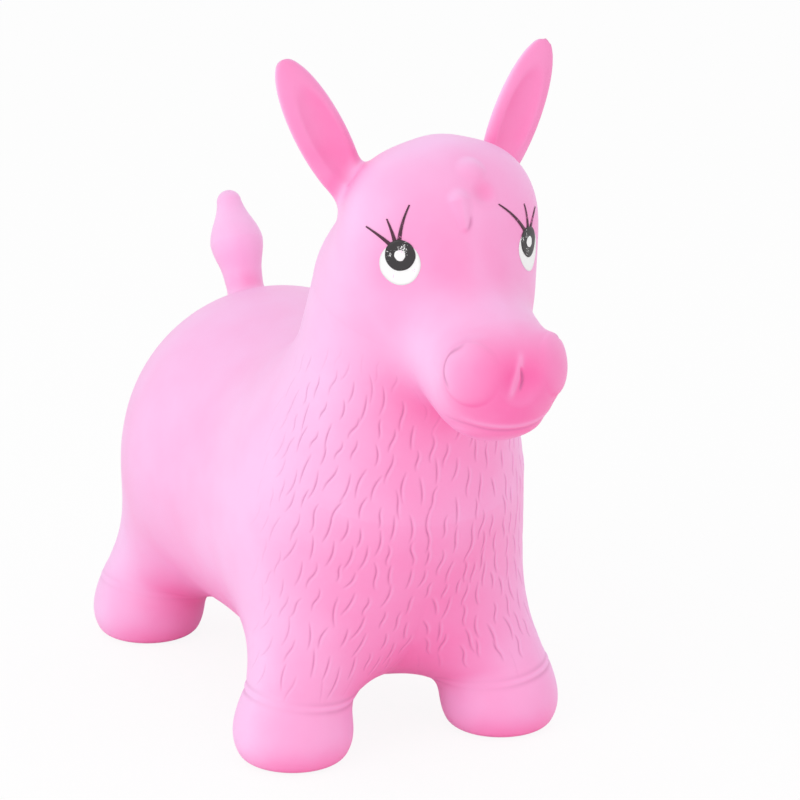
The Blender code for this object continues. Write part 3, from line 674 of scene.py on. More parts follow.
def even_skin():
    """The skin as one closed mesh of even squares, without its engraving."""
    form = bmesh.new()
    bmesh.ops.create_icosphere(form, subdivisions=BALL_FINENESS, radius=1)
    ball = np.array([vert.co for vert in form.verts])
    ball_faces = np.array([[vert.index for vert in face.verts] for face in form.faces])
    form.free()
    lobes = list(rough_lobes())
    places = [ball * np.array(radii) + np.array(middle) for middle, radii in lobes]
    faces = [ball_faces + len(ball) * count for count in range(len(lobes))]
    mesh = bpy.data.meshes.new(MOULDED)
    mesh.from_pydata(np.concatenate(places).tolist(), [], np.concatenate(faces).tolist())
    sizes = settings().mesh
    mesh = remeshed(mesh, sizes.rough)
    relax(mesh)
    set_places(mesh, settled(skin_field, vertex_places(mesh), ROUGH_SETTLE_ROUNDS))
    mesh = remeshed(mesh, sizes.even)
    for _ in range(EVEN_ROUNDS):
        relax(mesh)
        set_places(mesh, settled(skin_field, vertex_places(mesh), FINE_SETTLE_ROUNDS))
    mesh.name = MOULDED
    return mesh


def refine(mesh, chosen):
    """Splits the faces that have a chosen vertex into quarters, and settles the new vertices."""
    old = len(mesh.vertices)
    with edited(mesh) as form:
        form.verts.ensure_lookup_table()
        faces = {face for index in np.flatnonzero(chosen) for face in form.verts[index].link_faces}
        edges = list({edge for face in faces for edge in face.edges})
        bmesh.ops.subdivide_edges(form, edges=edges, cuts=1, use_grid_fill=True)
    places = vertex_places(mesh)
    places[old:] = settled(skin_field, places[old:], FINE_SETTLE_ROUNDS)
    set_places(mesh, places)


def detailed(p):
    """Where the skin carries detail: head, ears, neck, chest, legs and tail."""
    tail = settings().tail.root
    ahead = p[:, 1] < settings().neck.bend[1] + NECK_MARGIN
    low = p[:, 2] < settings().barrel.waist_radius * LOW_SHARE
    behind = (p[:, 1] > tail[1] - TAIL_MARGIN) & (p[:, 2] > tail[2] - TAIL_DROP)
    return ahead | low | behind


# Engraved and raised lines

STROKE_STEPS = 12
HAIR_TRIES = 12000
LEAST_HAIR = 0.12
# Where the coat's strokes start or end: along y or z, on the underside by the z of the way out, and
# for their lean to the rear by the distance from the middle plane
CHEST_END = (-0.112, -0.046)
THROAT_END = (0.290, 0.335)
HOOF_END = (0.066, 0.080)
MUZZLE_END = (-0.178, -0.160)
MUZZLE_FOOT = (0.235, 0.260)
UNDERSIDE_END = (-0.85, -0.45)
LEAN_START = (0.015, 0.060)
# How strokes differ: length, swing, which way they swing, S or C form, and turn aside
STROKE_LENGTHS = (0.75, 1.25)
SWINGS = (0.5, 1.3)
SWING_ODDS = (0.3, 0.7)
FORM_ODDS = (0.6, 0.4)
ASIDE = radians(8)
# How many steps past its ends a stroke would have no depth, and the power by which it deepens
STROKE_END = 0.6
STROKE_TAPER = 0.7
LIP_HEIGHT = 0.45
LIP_WIDTH = 1.6
# A drawn line: steps in each of its spans, where its fade starts, and the power of the fade
SPAN_STEPS = 24
FADE_START = 0.02
FADE_TAPER = 0.5
# Engraving reaches this many widths from a line's middle
LINE_REACH = 2.6
# The skin is finer this near to a line
LINE_MARGIN = 0.0016
# Side of the cubes that the skin's places are sorted into
CELL = 0.008


def hair_weight(p, n):
    """How strongly the coat is engraved at each place: on the chest, forelegs and throat."""
    chest = 1 - eased(*CHEST_END, p[:, 1])
    throat = 1 - eased(*THROAT_END, p[:, 2])
    hoof = eased(*HOOF_END, p[:, 2])
    muzzle = np.maximum(eased(*MUZZLE_END, p[:, 1]), 1 - eased(*MUZZLE_FOOT, p[:, 2]))
    under = eased(*UNDERSIDE_END, n[:, 2])
    return chest * throat * hoof * under * muzzle


def hair_way(p, n):
    """The way that the strokes run: down the skin, leaning to the rear at the sides."""
    hair = settings().hair
    down = np.tile((0.0, 0.0, -1.0), (len(p), 1))
    down -= (down * n).sum(axis=1)[:, None] * n
    down /= np.maximum(np.linalg.norm(down, axis=1), SMALLEST_SHARE)[:, None]
    rearward = np.cross(n, down) * np.sign(p[:, :1])
    lean = hair.lean * eased(*LEAN_START, np.abs(p[:, 0]))[:, None]
    return down * np.cos(lean) + rearward * np.sin(lean)


def hair_seeds(mesh):
    """Places of the strokes, spread evenly over the coat, with their weights."""
    hair = settings().hair
    places = vertex_places(mesh)
    out = ways_out(places)
    weight = hair_weight(places, out)
    dice = np.random.default_rng(hair.seed)
    order = dice.permutation(np.flatnonzero(weight > LEAST_HAIR))[:HAIR_TRIES]
    way = hair_way(places, out)
    kept = []
    for index in order:
        if kept:
            offset = places[kept] - places[index]
            along = offset @ way[index]
            across = np.sqrt(np.maximum((offset**2).sum(axis=1) - along**2, 0))
            if ((along / hair.row) ** 2 + (across / hair.spacing) ** 2 < 1).any():
                continue
        kept.append(index)
    return places[kept], weight[kept], dice


def hair_lines(mesh):
    """The strokes: each a slight S or C that follows the skin, with a raised lip on its left side,
    as (points, depths, width)."""
    hair = settings().hair
    places, weight, dice = hair_seeds(mesh)
    count = len(places)
    step = hair.stroke * dice.uniform(*STROKE_LENGTHS, count)[:, None] / STROKE_STEPS
    swing = hair.wave * dice.uniform(*SWINGS, count) * dice.choice((-1, 1), count, p=SWING_ODDS)
    turns = dice.choice((1, 2), count, p=FORM_ODDS)
    aside = ASIDE * dice.standard_normal(count)
    path, lip = [], []
    spot = places
    for number in range(STROKE_STEPS + 1):
        out = ways_out(spot)
        way = hair_way(spot, out)
        bend = (aside + swing * np.cos(pi * turns * number / STROKE_STEPS))[:, None]
        way = way * np.cos(bend) + np.cross(out, way) * np.sin(bend)
        path.append(spot)
        lip.append(spot + np.cross(out, way) * hair.lip)
        spot = settled(skin_field, spot + way * step, FINE_SETTLE_ROUNDS)
    path, lip = np.array(path), np.array(lip)
    along = (np.arange(STROKE_STEPS + 1) + STROKE_END) / (STROKE_STEPS + 2 * STROKE_END)
    taper = np.sin(pi * along) ** STROKE_TAPER
    for index in range(count):
        depth = hair.depth * weight[index] * taper
        yield path[:, index], depth, hair.width
        yield lip[:, index], -LIP_HEIGHT * depth, LIP_WIDTH * hair.width


def drawn(points, depth, width, sides):
    """A line through a few given points, smooth and settled on the skin, on each of these sides;
    a raised one has a depth below zero. It fades at its ends."""
    points = np.array(points, float)
    knots = np.arange(len(points))
    fine = np.linspace(0, len(points) - 1, SPAN_STEPS * (len(points) - 1))
    curve = np.column_stack([spline(knots, points[:, axis], fine) for axis in range(3)])
    fade = np.sin(pi * np.linspace(FADE_START, 1 - FADE_START, len(fine))) ** FADE_TAPER
    for side in sides:
        yield settled(skin_field, curve * (side, 1, 1)), depth * fade, width


def spline(knots, values, fine):
    """A smooth curve through values at whole knots, by cubics with the slopes between neighbours."""
    slopes = np.gradient(values)
    low = np.clip(np.floor(fine).astype(int), 0, len(knots) - 2)
    t = fine - low
    return (
        values[low] * (1 + 2 * t) * (1 - t) ** 2
        + slopes[low] * t * (1 - t) ** 2
        + values[low + 1] * t**2 * (3 - 2 * t)
        + slopes[low + 1] * t**2 * (t - 1)
    )


# Points of the lines on the face
MOUTH = (
    (-0.0400, -0.2290, 0.2985),
    (-0.0310, -0.2440, 0.2955),
    (-0.0160, -0.2530, 0.2920),
    (0.0000, -0.2560, 0.2912),
    (0.0160, -0.2530, 0.2920),
    (0.0280, -0.2460, 0.2950),
)
UPPER_LIP = (
    (-0.0330, -0.2440, 0.3010),
    (-0.0170, -0.2550, 0.2965),
    (0.0000, -0.2580, 0.2952),
    (0.0170, -0.2550, 0.2965),
    (0.0330, -0.2440, 0.3010),
)
NOSTRIL_EDGE = (
    (0.0330, -0.2450, 0.3500),
    (0.0425, -0.2400, 0.3370),
    (0.0415, -0.2440, 0.3240),
)
NOSE_RIDGE = ((0.0015, -0.2600, 0.3460), (-0.0025, -0.2666, 0.3320), (-0.0080, -0.2663, 0.3180))
NOSE_GROOVE = ((-0.0002, -0.2650, 0.3380), (0.0012, -0.2680, 0.3290), (-0.0006, -0.2685, 0.3220))
LOCK_EDGE = ((-0.0005, -0.1880, 0.4240), (-0.0018, -0.1888, 0.4190), (-0.0045, -0.1893, 0.4150))


# (points, depth, width, sides) of each; a raised line has a depth below zero
FACE_LINES = (
    (MOUTH, 0.0004, 0.0013, (1,)),
    (UPPER_LIP, -0.0005, 0.0022, (1,)),
    (NOSTRIL_EDGE, 0.0009, 0.0014, (1, -1)),
    (NOSE_RIDGE, -0.0007, 0.0024, (1,)),
    (NOSE_GROOVE, 0.0011, 0.0010, (1,)),
    (LOCK_EDGE, 0.0006, 0.0013, (1,)),
)


BAND_HEIGHTS = {("front", -1): 0.050, ("front", 1): 0.047, ("rear", -1): 0.044, ("rear", 1): 0.044}
BAND_STRENGTHS = {"front": 1, "rear": 0.45}
BAND_TILT_SHARE = 0.15
BAND_GAP = 0.0052
BAND_STEPS = 90
# (rise, depth, width) of the upper groove, the ridge and the lower groove
BANDS = ((BAND_GAP / 2, 0.0004, 0.0018), (0, -0.0004, 0.0022), (-BAND_GAP / 2, 0.0005, 0.0018))
# Round the ankle a band's strength swings about a middle, and starts elsewhere on each foot
BAND_MIDDLE = 0.55
BAND_SWING = 0.45
BAND_START = 40


def band_lines():
    """Two fine grooves round each ankle, higher on the outer side, with a low ridge between."""
    legs = settings().legs
    for end, left_sole, _ in feet():
        for side in SIDES.values():
            sole = left_sole * mirror(side)
            turns = np.linspace(0, 2 * pi, BAND_STEPS)
            ring = np.column_stack((np.cos(turns), np.sin(turns))) * legs.ankle_radius
            tilt = BAND_TILT_SHARE * side * ring[:, 0]
            for rise, depth, width in BANDS:
                heights = BAND_HEIGHTS[end, side] + tilt + rise
                line = np.column_stack((sole.x + ring[:, 0], sole.y + ring[:, 1], heights))
                for _ in range(SETTLE_ROUNDS):
                    out = ways_out(line) * (1, 1, 0)
                    line = line - skin_field(line)[:, None] * out
                fade = BAND_MIDDLE + BAND_SWING * np.sin(turns * 2 + sole.x * BAND_START)
                yield line, depth * fade * BAND_STRENGTHS[end], width


def cells_of(places):
    return np.floor(places / CELL).astype(int)


def displaced(places, lines):
    """How deep the lines engrave the skin at each place."""
    depth = np.zeros(len(places))
    cells, members = np.unique(cells_of(places), axis=0, return_inverse=True)
    order = np.argsort(members.ravel(), kind="stable")
    bounds = np.searchsorted(members.ravel()[order], np.arange(len(cells) + 1))
    held = {tuple(cell): order[bounds[i] : bounds[i + 1]] for i, cell in enumerate(cells.tolist())}
    for points, depths, width in lines:
        reach = LINE_REACH * width
        low, high = cells_of(points.min(axis=0) - reach), cells_of(points.max(axis=0) + reach)
        ranges = [range(first, last + 1) for first, last in zip(low, high)]
        found = [held[cell] for cell in product(*ranges) if cell in held]
        if not found:
            continue
        index = np.concatenate(found)
        start, along = points[:-1], np.diff(points, axis=0)
        offset = places[index][:, None] - start[None]
        part = np.clip((offset * along).sum(axis=2) / (along**2).sum(axis=1), 0, 1)
        gaps = np.linalg.norm(offset - part[..., None] * along, axis=2)
        nearest = gaps.argmin(axis=1)
        rows = np.arange(len(index))
        part = part[rows, nearest]
        here = depths[nearest] * (1 - part) + depths[nearest + 1] * part
        depth[index] += here * np.exp(-((gaps[rows, nearest] / width) ** 2))
    return depth


def near_lines(mesh, lines):
    """Which vertices lie near any line."""
    points = np.concatenate([line[0] for line in lines])
    tree = KDTree(len(points))
    for index, point in enumerate(points):
        tree.insert(point, index)
    tree.balance()
    return np.array([tree.find(v.co)[2] < LINE_MARGIN for v in mesh.vertices])


# How far out the openness is felt, how softly it reaches its most, and the margin for that
SKY_REACHES = (0.012, 0.030, 0.070)
SKY_EASE = 0.35
SKY_MARGIN = 0.08


# The less open a place is, the more painted shade its fold gets
def open_sky(places, out):
    """How free each place is from what stands round it, from 0, hemmed in, to 1, open."""
    total = 0
    for reach in SKY_REACHES:
        free = skin_field(places + out * reach, margin=SKY_MARGIN) / reach
        total = total + np.maximum(smooth_union(free, 1, SKY_EASE), 0)
    return total / len(SKY_REACHES)


def add_values(mesh, name, kind, values):
    attribute = mesh.attributes.new(name, kind, "POINT")
    field = "vector" if kind == "FLOAT_VECTOR" else "value"
    attribute.data.foreach_set(field, np.asarray(values, np.float32).ravel())


def read_vectors(mesh, name):
    values = np.empty(len(mesh.vertices) * 3)
    mesh.attributes[name].data.foreach_get("vector", values)
    return values.reshape(-1, 3)


# Where the skin is parted, so that each region can move


def ear_plane(side, along):
    """A point on one ear's line, this far from its root, and the line's way."""
    root, _, _, up, _ = ear_frame()
    return (root + up * along) * mirror(side), up * mirror(side)


def tail_plane(along):
    sizes = settings().tail
    way = (Vector(sizes.tip) - Vector(sizes.root)).normalized()
    return Vector(sizes.root) + way * along, way


def hip_plane(end, side, along):
    legs = settings().legs
    ahead = -1 if end == "rear" else 1
    way = (Vector(legs.hip_way) * Vector((side, ahead, 1))).normalized()
    sole = Vector(getattr(legs, end)) * mirror(side)
    return sole + way * (along - legs.hip_reach), way


def regions():
    """(name, point, way, guard) of each parting plane; the guard keeps it to its own region."""
    neck = settings().neck
    parting = (settings().legs.front[1] + settings().legs.rear[1]) / 2
    yield "head", Vector(neck.bend), Vector(neck.bend_way).normalized(), lambda p: p[:, 1] < parting
    yield "tail", *tail_plane(settings().tail.bend_start), lambda p: p[:, 1] > parting
    for name, side in SIDES.items():
        yield (
            f"{name}_ear",
            *ear_plane(side, settings().ears.bend_start),
            lambda p, side=side: (p[:, 0] * side > 0) & (p[:, 1] < parting),
        )
        for end, ahead in (("front", -1), ("rear", 1)):
            yield (
                f"{end}_{name}_leg",
                *hip_plane(end, side, 0),
                lambda p, side=side, ahead=ahead: (
                    (p[:, 0] * side > 0) & ((p[:, 1] - parting) * ahead > 0)
                ),
            )


def face_middles(mesh):
    middles = np.empty(len(mesh.polygons) * 3)
    mesh.polygons.foreach_get("center", middles)
    return middles.reshape(-1, 3)


def part_skin(mesh):
    """Cuts the mesh along the parting planes and labels each face with its region's number."""
    middles = face_middles(mesh)
    reach = 2 * settings().mesh.even
    with edited(mesh) as form:
        form.faces.ensure_lookup_table()
        cuts = []
        for _, point, way, guard in regions():
            near = (np.abs((middles - np.array(point)) @ np.array(way)) < reach) & guard(middles)
            faces = [form.faces[index] for index in np.flatnonzero(near)]
            parts = {item for face in faces for item in (face, *face.edges, *face.verts)}
            cuts.append({"geom": list(parts), "plane_co": point, "plane_no": way})
        for plane in cuts:
            bmesh.ops.bisect_plane(form, dist=MERGE_DISTANCE, **plane)
    middles = face_middles(mesh)
    labels = np.zeros(len(middles), np.int32)
    for number, (_, point, way, guard) in enumerate(regions(), 1):
        labels[((middles - np.array(point)) @ np.array(way) > 0) & guard(middles)] = number
    mesh.attributes.new("region", "INT", "FACE").data.foreach_set("value", labels)


def shade_with(mesh, normals):
    """Smooth shading by given normals, so that parted regions meet without a line."""
    mesh.shade_smooth()
    lengths = np.linalg.norm(normals, axis=1)[:, None]
    mesh.normals_split_custom_set_from_vertices((normals / lengths).tolist())


def region_object(piece_name, region):
    """The faces of one region of the moulded skin, as an object."""
    mould = bpy.data.meshes.get(MOULDED)
    if mould is None:
        raise RuntimeError("the skin isn't moulded yet")
    names = ["trunk", *(name for name, *_ in regions())]
    number = names.index(region)
    mesh = mould.copy()
    mesh.name = piece_name
    with edited(mesh) as form:
        label = form.faces.layers.int["region"]
        others = [face for face in form.faces if face[label] != number]
        bmesh.ops.delete(form, geom=others, context="FACES")
    shade_with(mesh, read_vectors(mesh, "way_out"))
    mesh.materials.append(soft_pvc())
    return new_object(piece_name, mesh)


# Painted shade: how hot the pink is painted, as shares of the way from the palest to the hottest; a pair
# says where a fade starts and ends, along x, y or z in metres or as a share of facing that way
FOLD_PAINTED_SHADE = 0.52
UNDERSIDE_PAINTED_SHADE = 0.45
UNDER_FADE = (-0.20, 0.90)
FRONT_PAINTED_SHADE = 0.34
FRONT_FADE = (0.10, 1.00)
FLANK_PAINTED_SHADE = 0.085
FLANK_ALONG = (-0.04, 0.06)
FLANK_UP = (0.10, 0.16)
EAR_PAINTED_SHADE = 0.20
EARS_UP = (0.44, 0.46)
EARS_OUT = (0.05, 0.06)
LESS_PAINTED_SHADE_ALL_OVER = 0.045
TAIL_LESS_PAINTED_SHADE = 0.60
TAIL_ALONG = (0.200, 0.215)
TAIL_UP = (0.255, 0.270)
# (form of the face, side, reach, strength of its painted shade) of each spot of painted shade
PAINTED_SHADE_SPOTS = (
    ("dish", 1, 0.024, 0.38),
    ("dish", 1, 0.042, 0.18),
    ("curl", 1, 0.009, 0.34),
    ("pad", 1, 0.018, 0.26),
    ("pad", -1, 0.018, 0.26),
)
# Depths that the colour tells apart, from a raised lip to a groove, as shares of a stroke's depth; from
# them the colour paints a highlight on raised lips and shade in grooves
GROOVE_SHARES = (-1, 1.5)
# The finest squares: ears outside this distance from the middle plane, the nose from this far ahead
# of its middle, and a box round the forelock
EARS_INSIDE = 0.045
NOSE_START = 0.006
FORELOCK_MIDDLE = (0.006, -0.200, 0.436)
FORELOCK_REACH = (0.022, 0.050, 0.026)


class HORSE_OT_mould(bpy.types.Operator):
    """Moulds the whole skin as one mesh, engraves it and marks its regions"""

    bl_idname = "horse.mould"
    bl_label = "Mould the skin"

    def execute(self, context):
        mesh = even_skin()
        refine(mesh, detailed(vertex_places(mesh)))
        lines = [line for form in FACE_LINES for line in drawn(*form)]
        lines += [*band_lines(), *hair_lines(mesh)]
        refine(mesh, near_lines(mesh, lines) | self.crisp(vertex_places(mesh)))
        places = vertex_places(mesh)
        out = ways_out(places)
        depth = displaced(places, lines)
        # How open each place is, which sets the painted shade in folds
        sky = open_sky(places, out)
        set_places(mesh, places - out * depth[:, None])
        normals = np.empty(len(places) * 3, np.float32)
        mesh.vertex_normals.foreach_get("vector", normals)
        add_values(mesh, "way_out", "FLOAT_VECTOR", normals)
        add_values(mesh, "rest_place", "FLOAT_VECTOR", places)
        # Stroke depths, from which the colour paints shade in grooves and a highlight on raised lips
        add_values(mesh, "groove", "FLOAT", np.clip(depth / settings().hair.depth, *GROOVE_SHARES))
        # Painted shade at each vertex
        add_values(mesh, "painted_shade", "FLOAT", np.clip(self.painted_shade(places, out, sky), 0, 1))
        part_skin(mesh)
        return {"FINISHED"}

    @staticmethod
    def painted_shade(p, out, sky):
        """Painted shade, as how hot the pink is made: in folds, on lower and forward faces, and round
        the nose.
        """
        front = eased(*FRONT_FADE, -out[:, 1])
        under = eased(*UNDER_FADE, -out[:, 2])
        flank = eased(*FLANK_ALONG, p[:, 1]) * eased(*FLANK_UP, p[:, 2])
        ears = eased(*EARS_UP, p[:, 2]) * eased(*EARS_OUT, np.abs(p[:, 0]))
        # Folds, lower faces and forward faces are painted with shade; the flank, the ear fronts and the
        # spots round the nose get more, the tail less
        shade_level = FOLD_PAINTED_SHADE * (1 - sky) + UNDERSIDE_PAINTED_SHADE * under + FRONT_PAINTED_SHADE * front - LESS_PAINTED_SHADE_ALL_OVER
        shade_level += FLANK_PAINTED_SHADE * flank + EAR_PAINTED_SHADE * front * ears
        for form, side, reach, heat in PAINTED_SHADE_SPOTS:
            middle = Vector(getattr(settings().face, form)) * mirror(side)
            away = np.linalg.norm(p - np.array(middle), axis=1) / reach
            shade_level += heat * np.exp(-(away**2))
        tail = eased(*TAIL_ALONG, p[:, 1]) * eased(*TAIL_UP, p[:, 2])
        return shade_level * (1 - TAIL_LESS_PAINTED_SHADE * tail)

    @staticmethod
    def crisp(p):
        """Ears, nose and forelock, which have fine edges."""
        sizes = settings()
        ears = p[:, 2] > sizes.ears.root[2] + sizes.ears.bend_start
        ears &= np.abs(p[:, 0]) > EARS_INSIDE
        nose = p[:, 1] < sizes.head.nose[1] - NOSE_START
        forelock = (np.abs(p - FORELOCK_MIDDLE) < FORELOCK_REACH).all(axis=1)
        return ears | nose | forelock


class HORSE_OT_trunk(bpy.types.Operator):
    """Makes the trunk's skin"""

    bl_idname = "horse.trunk"
    bl_label = "Trunk"

    def execute(self, context):
        thing = region_object("barrel", "trunk")
        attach(thing, "trunk")
        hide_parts("trunk_skin")
        return {"FINISHED"}


class HORSE_OT_head(bpy.types.Operator):
    """Makes the skin of the neck and head"""

    bl_idname = "horse.head"
    bl_label = "Head and neck"

    def execute(self, context):
        neck = settings().neck
        thing = region_object("head_and_neck", "head")
        start = Vector(neck.bend)
        end = start + Vector(neck.bend_way).normalized() * neck.bend_length
        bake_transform(thing)
        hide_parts("neck_skin", "head_skin")
        return {"FINISHED"}


class HORSE_OT_ears(bpy.types.Operator):
    """Makes the two ears"""

    bl_idname = "horse.ears"
    bl_label = "Ears"

    def execute(self, context):
        ears = settings().ears
        for name, side in SIDES.items():
            thing = region_object(f"{name}_ear_leaf", f"{name}_ear")
            start, _ = ear_plane(side, ears.bend_start)
            end, _ = ear_plane(side, ears.bend_start + ears.bend_length)
            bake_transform(thing)
            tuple(start)
            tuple(end)
            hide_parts(f"{name}_ear_root", f"{name}_ear")
        return {"FINISHED"}


class HORSE_OT_tail(bpy.types.Operator):
    """Makes the tail"""

    bl_idname = "horse.tail"
    bl_label = "Tail"

    def execute(self, context):
        sizes = settings().tail
        thing = region_object("tail_spindle", "tail")
        start, _ = tail_plane(sizes.bend_start)
        end, _ = tail_plane(sizes.bend_start + sizes.bend_length)
        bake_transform(thing)
        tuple(start)
        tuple(end)
        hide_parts("tail_root", "tail")
        return {"FINISHED"}


class HORSE_OT_legs(bpy.types.Operator):
    """Makes the four legs with their hooves"""

    bl_idname = "horse.legs"
    bl_label = "Legs"

    def execute(self, context):
        for end, _, _ in feet():
            for name, side in SIDES.items():
                foot = f"{end}_{name}"
                thing = region_object(f"{foot}_leg_and_hoof", f"{foot}_leg")
                start, _ = hip_plane(end, side, 0)
                stop, _ = hip_plane(end, side, settings().legs.press_reach)
                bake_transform(thing)
                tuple(start)
                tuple(stop)
                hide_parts(f"{foot}_leg", f"{foot}_hoof")
        return {"FINISHED"}


# Printed eyes

RING_STEPS = 48
DISC_RINGS = 8
LASH_STEPS = 14
SLIDE_ROUNDS = 7
LEAST_FACING = 0.3
# A print's edge is uneven in this many waves, by shares of its radius, and starts anywhere in a turn
EDGE_WAVES = (3, 7)
EDGE_PHASE = 6
IRIS_SEED = 2
HIGHLIGHT_SEED = 4
WHITE_RAGGEDNESS = 0.006
IRIS_RAGGEDNESS = 0.010
HIGHLIGHT_RAGGEDNESS = 0.03
# A lash starts this share of the iris's radius inside its rim, and narrows by this power
LASH_ROOT = 0.1
LASH_TAPER = 0.8
# Each lash: where it starts on the iris's rim, where it heads, its length and how far it curves;
# angles in degrees from the horse's right, anticlockwise for who faces it
LASHES = {
    "right": ((135, 150, 0.0200, -8), (112, 113, 0.0155, -6), (94, 76, 0.0240, 10)),
    "left": ((118, 134, 0.0290, -8), (92, 92, 0.0160, -4), (70, 44, 0.0165, 14)),
}


def laid_on_skin(flat, side, lift):
    """Points of an eye's own plane, laid on the skin at this height above it."""
    eyes = settings().eyes
    turn = side * eyes.turn
    out = Vector((sin(turn), -cos(turn), 0))
    across = Vector((0, 0, 1)).cross(out).normalized()
    start = np.array([[side * eyes.across, settings().head.brow[1], eyes.height]])
    middle = slid(start, np.array((0.0, -1.0, 0.0)), 0)[0]
    places = middle + flat[:, :1] * np.array(across) + flat[:, 1:2] * np.array((0, 0, 1))
    return slid(places, np.array(out), lift)


def slid(points, way, lift):
    """These points, moved along one way only until they stand this far off the skin."""
    for _ in range(SLIDE_ROUNDS):
        facing = np.maximum(slope_of(skin_field, points) @ way, LEAST_FACING)
        points = points - np.outer((skin_field(points) - lift) / facing, way)
    return points


def print_object(name, form, side, lift, finish):
    """A printed film from a flat bmesh: laid on the skin, facing out, with the film's thickness."""
    flat = np.array([v.co for v in form.verts])
    for vert, spot in zip(form.verts, laid_on_skin(flat, side, lift)):
        vert.co = spot
    mesh = bpy.data.meshes.new(name)
    bmesh.ops.recalc_face_normals(form, faces=form.faces)
    form.to_mesh(mesh)
    form.free()
    mesh.shade_smooth()
    thing = new_object(name, mesh)
    if mesh.polygons[0].normal.y > 0:
        mesh.flip_normals()
    film = thing.modifiers.new("Film", "SOLIDIFY")
    film.thickness = settings().eyes.film
    film.offset = 1
    mesh.materials.append(finish)
    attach(thing, "head")
    return thing


def disc(radius, middle, seed, raggedness):
    """A flat disc in rings, whose edge is a little uneven, as a print's is."""
    form = bmesh.new()
    dice = np.random.default_rng(seed)
    turns = 2 * pi * np.arange(RING_STEPS) / RING_STEPS
    coarse, fine = (np.sin(waves * turns + dice.uniform(0, EDGE_PHASE)) for waves in EDGE_WAVES)
    edge = 1 + raggedness * (coarse + fine / 2)
    centre = form.verts.new((*middle, 0))
    inner = None
    for ring in range(1, DISC_RINGS + 1):
        reach = radius * ring / DISC_RINGS * edge
        loop = [
            form.verts.new((middle[0] + r * cos(t), middle[1] + r * sin(t), 0))
            for r, t in zip(reach, turns)
        ]
        for step in range(RING_STEPS):
            following = (step + 1) % RING_STEPS
            if inner is None:
                form.faces.new((centre, loop[step], loop[following]))
            else:
                form.faces.new((inner[step], loop[step], loop[following], inner[following]))
        inner = loop
    return form


def add_lash(form, start, heading, reach, curve, iris):
    """One lash as a strip that starts inside the iris and narrows to its tip."""
    eyes = settings().eyes
    spot = Vector((cos(radians(start)), sin(radians(start)))) * (iris * (1 - LASH_ROOT))
    spot.y += eyes.iris_rise
    step = (reach + iris * LASH_ROOT) / LASH_STEPS
    pair = None
    for count in range(LASH_STEPS + 1):
        part = count / LASH_STEPS
        turn = radians(heading + curve * (1 - 2 * part))
        way = Vector((cos(turn), sin(turn)))
        half = (eyes.lash_width + (eyes.lash_tip_width - eyes.lash_width) * part**LASH_TAPER) / 2
        side = Vector((-way.y, way.x)) * half
        new_pair = [form.verts.new((*(spot + side), 0)), form.verts.new((*(spot - side), 0))]
        if pair:
            form.faces.new((pair[0], pair[1], new_pair[1], new_pair[0]))
        pair = new_pair
        spot = spot + way * step


class HORSE_OT_eyes(bpy.types.Operator):
    """Prints the two eyes: white, iris, lashes and highlight"""

    bl_idname = "horse.eyes"
    bl_label = "Eyes"

    def execute(self, context):
        eyes = settings().eyes
        middle = (0, eyes.iris_rise)
        for seed, (name, side) in enumerate(SIDES.items()):
            lift = eyes.film
            form = disc(eyes.white_radius, (0, 0), seed, WHITE_RAGGEDNESS)
            white = print_object(f"{name}_eye_white_print", form, side, lift, worn("white_pad_print"))
            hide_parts(f"{name}_eye_white")
            lift += 2 * eyes.film
            form = disc(eyes.iris_radius, middle, seed + IRIS_SEED, IRIS_RAGGEDNESS)
            iris = print_object(f"{name}_iris_print", form, side, lift, worn("black_pad_print"))
            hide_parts(f"{name}_eye_iris_and_lashes")
            form = bmesh.new()
            for start, heading, reach, curve in LASHES[name]:
                add_lash(form, start, heading, reach, curve, eyes.iris_radius)
            thin = worn("black_pad_print_thin")
            lashes = print_object(f"{name}_lashes_print", form, side, lift - eyes.film / 2, thin)
            lift += 2 * eyes.film
            seed += HIGHLIGHT_SEED
            form = disc(eyes.highlight_radius, middle, seed, HIGHLIGHT_RAGGEDNESS)
            glint = print_object(f"{name}_highlight_print", form, side, lift, worn("white_pad_print"))
            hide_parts(f"{name}_eye_highlight")
        return {"FINISHED"}


# Finishes

# Patterns, each from its size in metres: the clouds of the skin's colour, the ink's rubbed patches
# and the paper's fibres as they are, and the mould's grain (really about 0.3 mm) and the ink's
# pinholes (about 0.2 mm) as coarse as they need to be to show
CLOUDS = {"Scale": 1 / 0.045, "Detail": 3}
GRAIN = {"Scale": 1 / 0.0016, "Detail": 4}
PINHOLES = {"Scale": 1 / 0.0009, "Detail": 2}
PATCHES = {"Scale": 1 / 0.0070, "Detail": 1}
FIBRES = {"Scale": 1 / 0.004, "Detail": 2}
# Most of a noise lies between these values
NOISE_RANGE = {"From Min": 0.3, "From Max": 0.7}
WHITE = (1, 1, 1, 1)
# Numbers of a colour mix's two colours, and of its result
FIRST, SECOND, MIXED = 6, 7, 2

PVC_IOR = 1.53
PVC_ROUGHNESS = {"To Min": 0.40, "To Max": 0.52}
COLOUR_DRIFT = {"To Min": -0.05, "To Max": 0.05}
# Where the middle pink stands in the painted shade, and how strongly grooves are painted with shade and
# raised lips with a highlight
MIDDLE_SHADE_PINK_AT = 0.45
GROOVE_PAINTED_SHADE = {"To Max": 0.55}
LIP_PAINTED_HIGHLIGHT = {"From Max": -0.6, "To Max": 0.30}
GRAIN_BUMP = {"Strength": 0.10, "Distance": 0.0002}

INK_IOR = 1.50
INK_ROUGHNESS_SPREAD = 0.05
# An ink is gone where the product of its two noises passes from the first to the second level
WEAR_LEVELS = (0.40, 0.42)
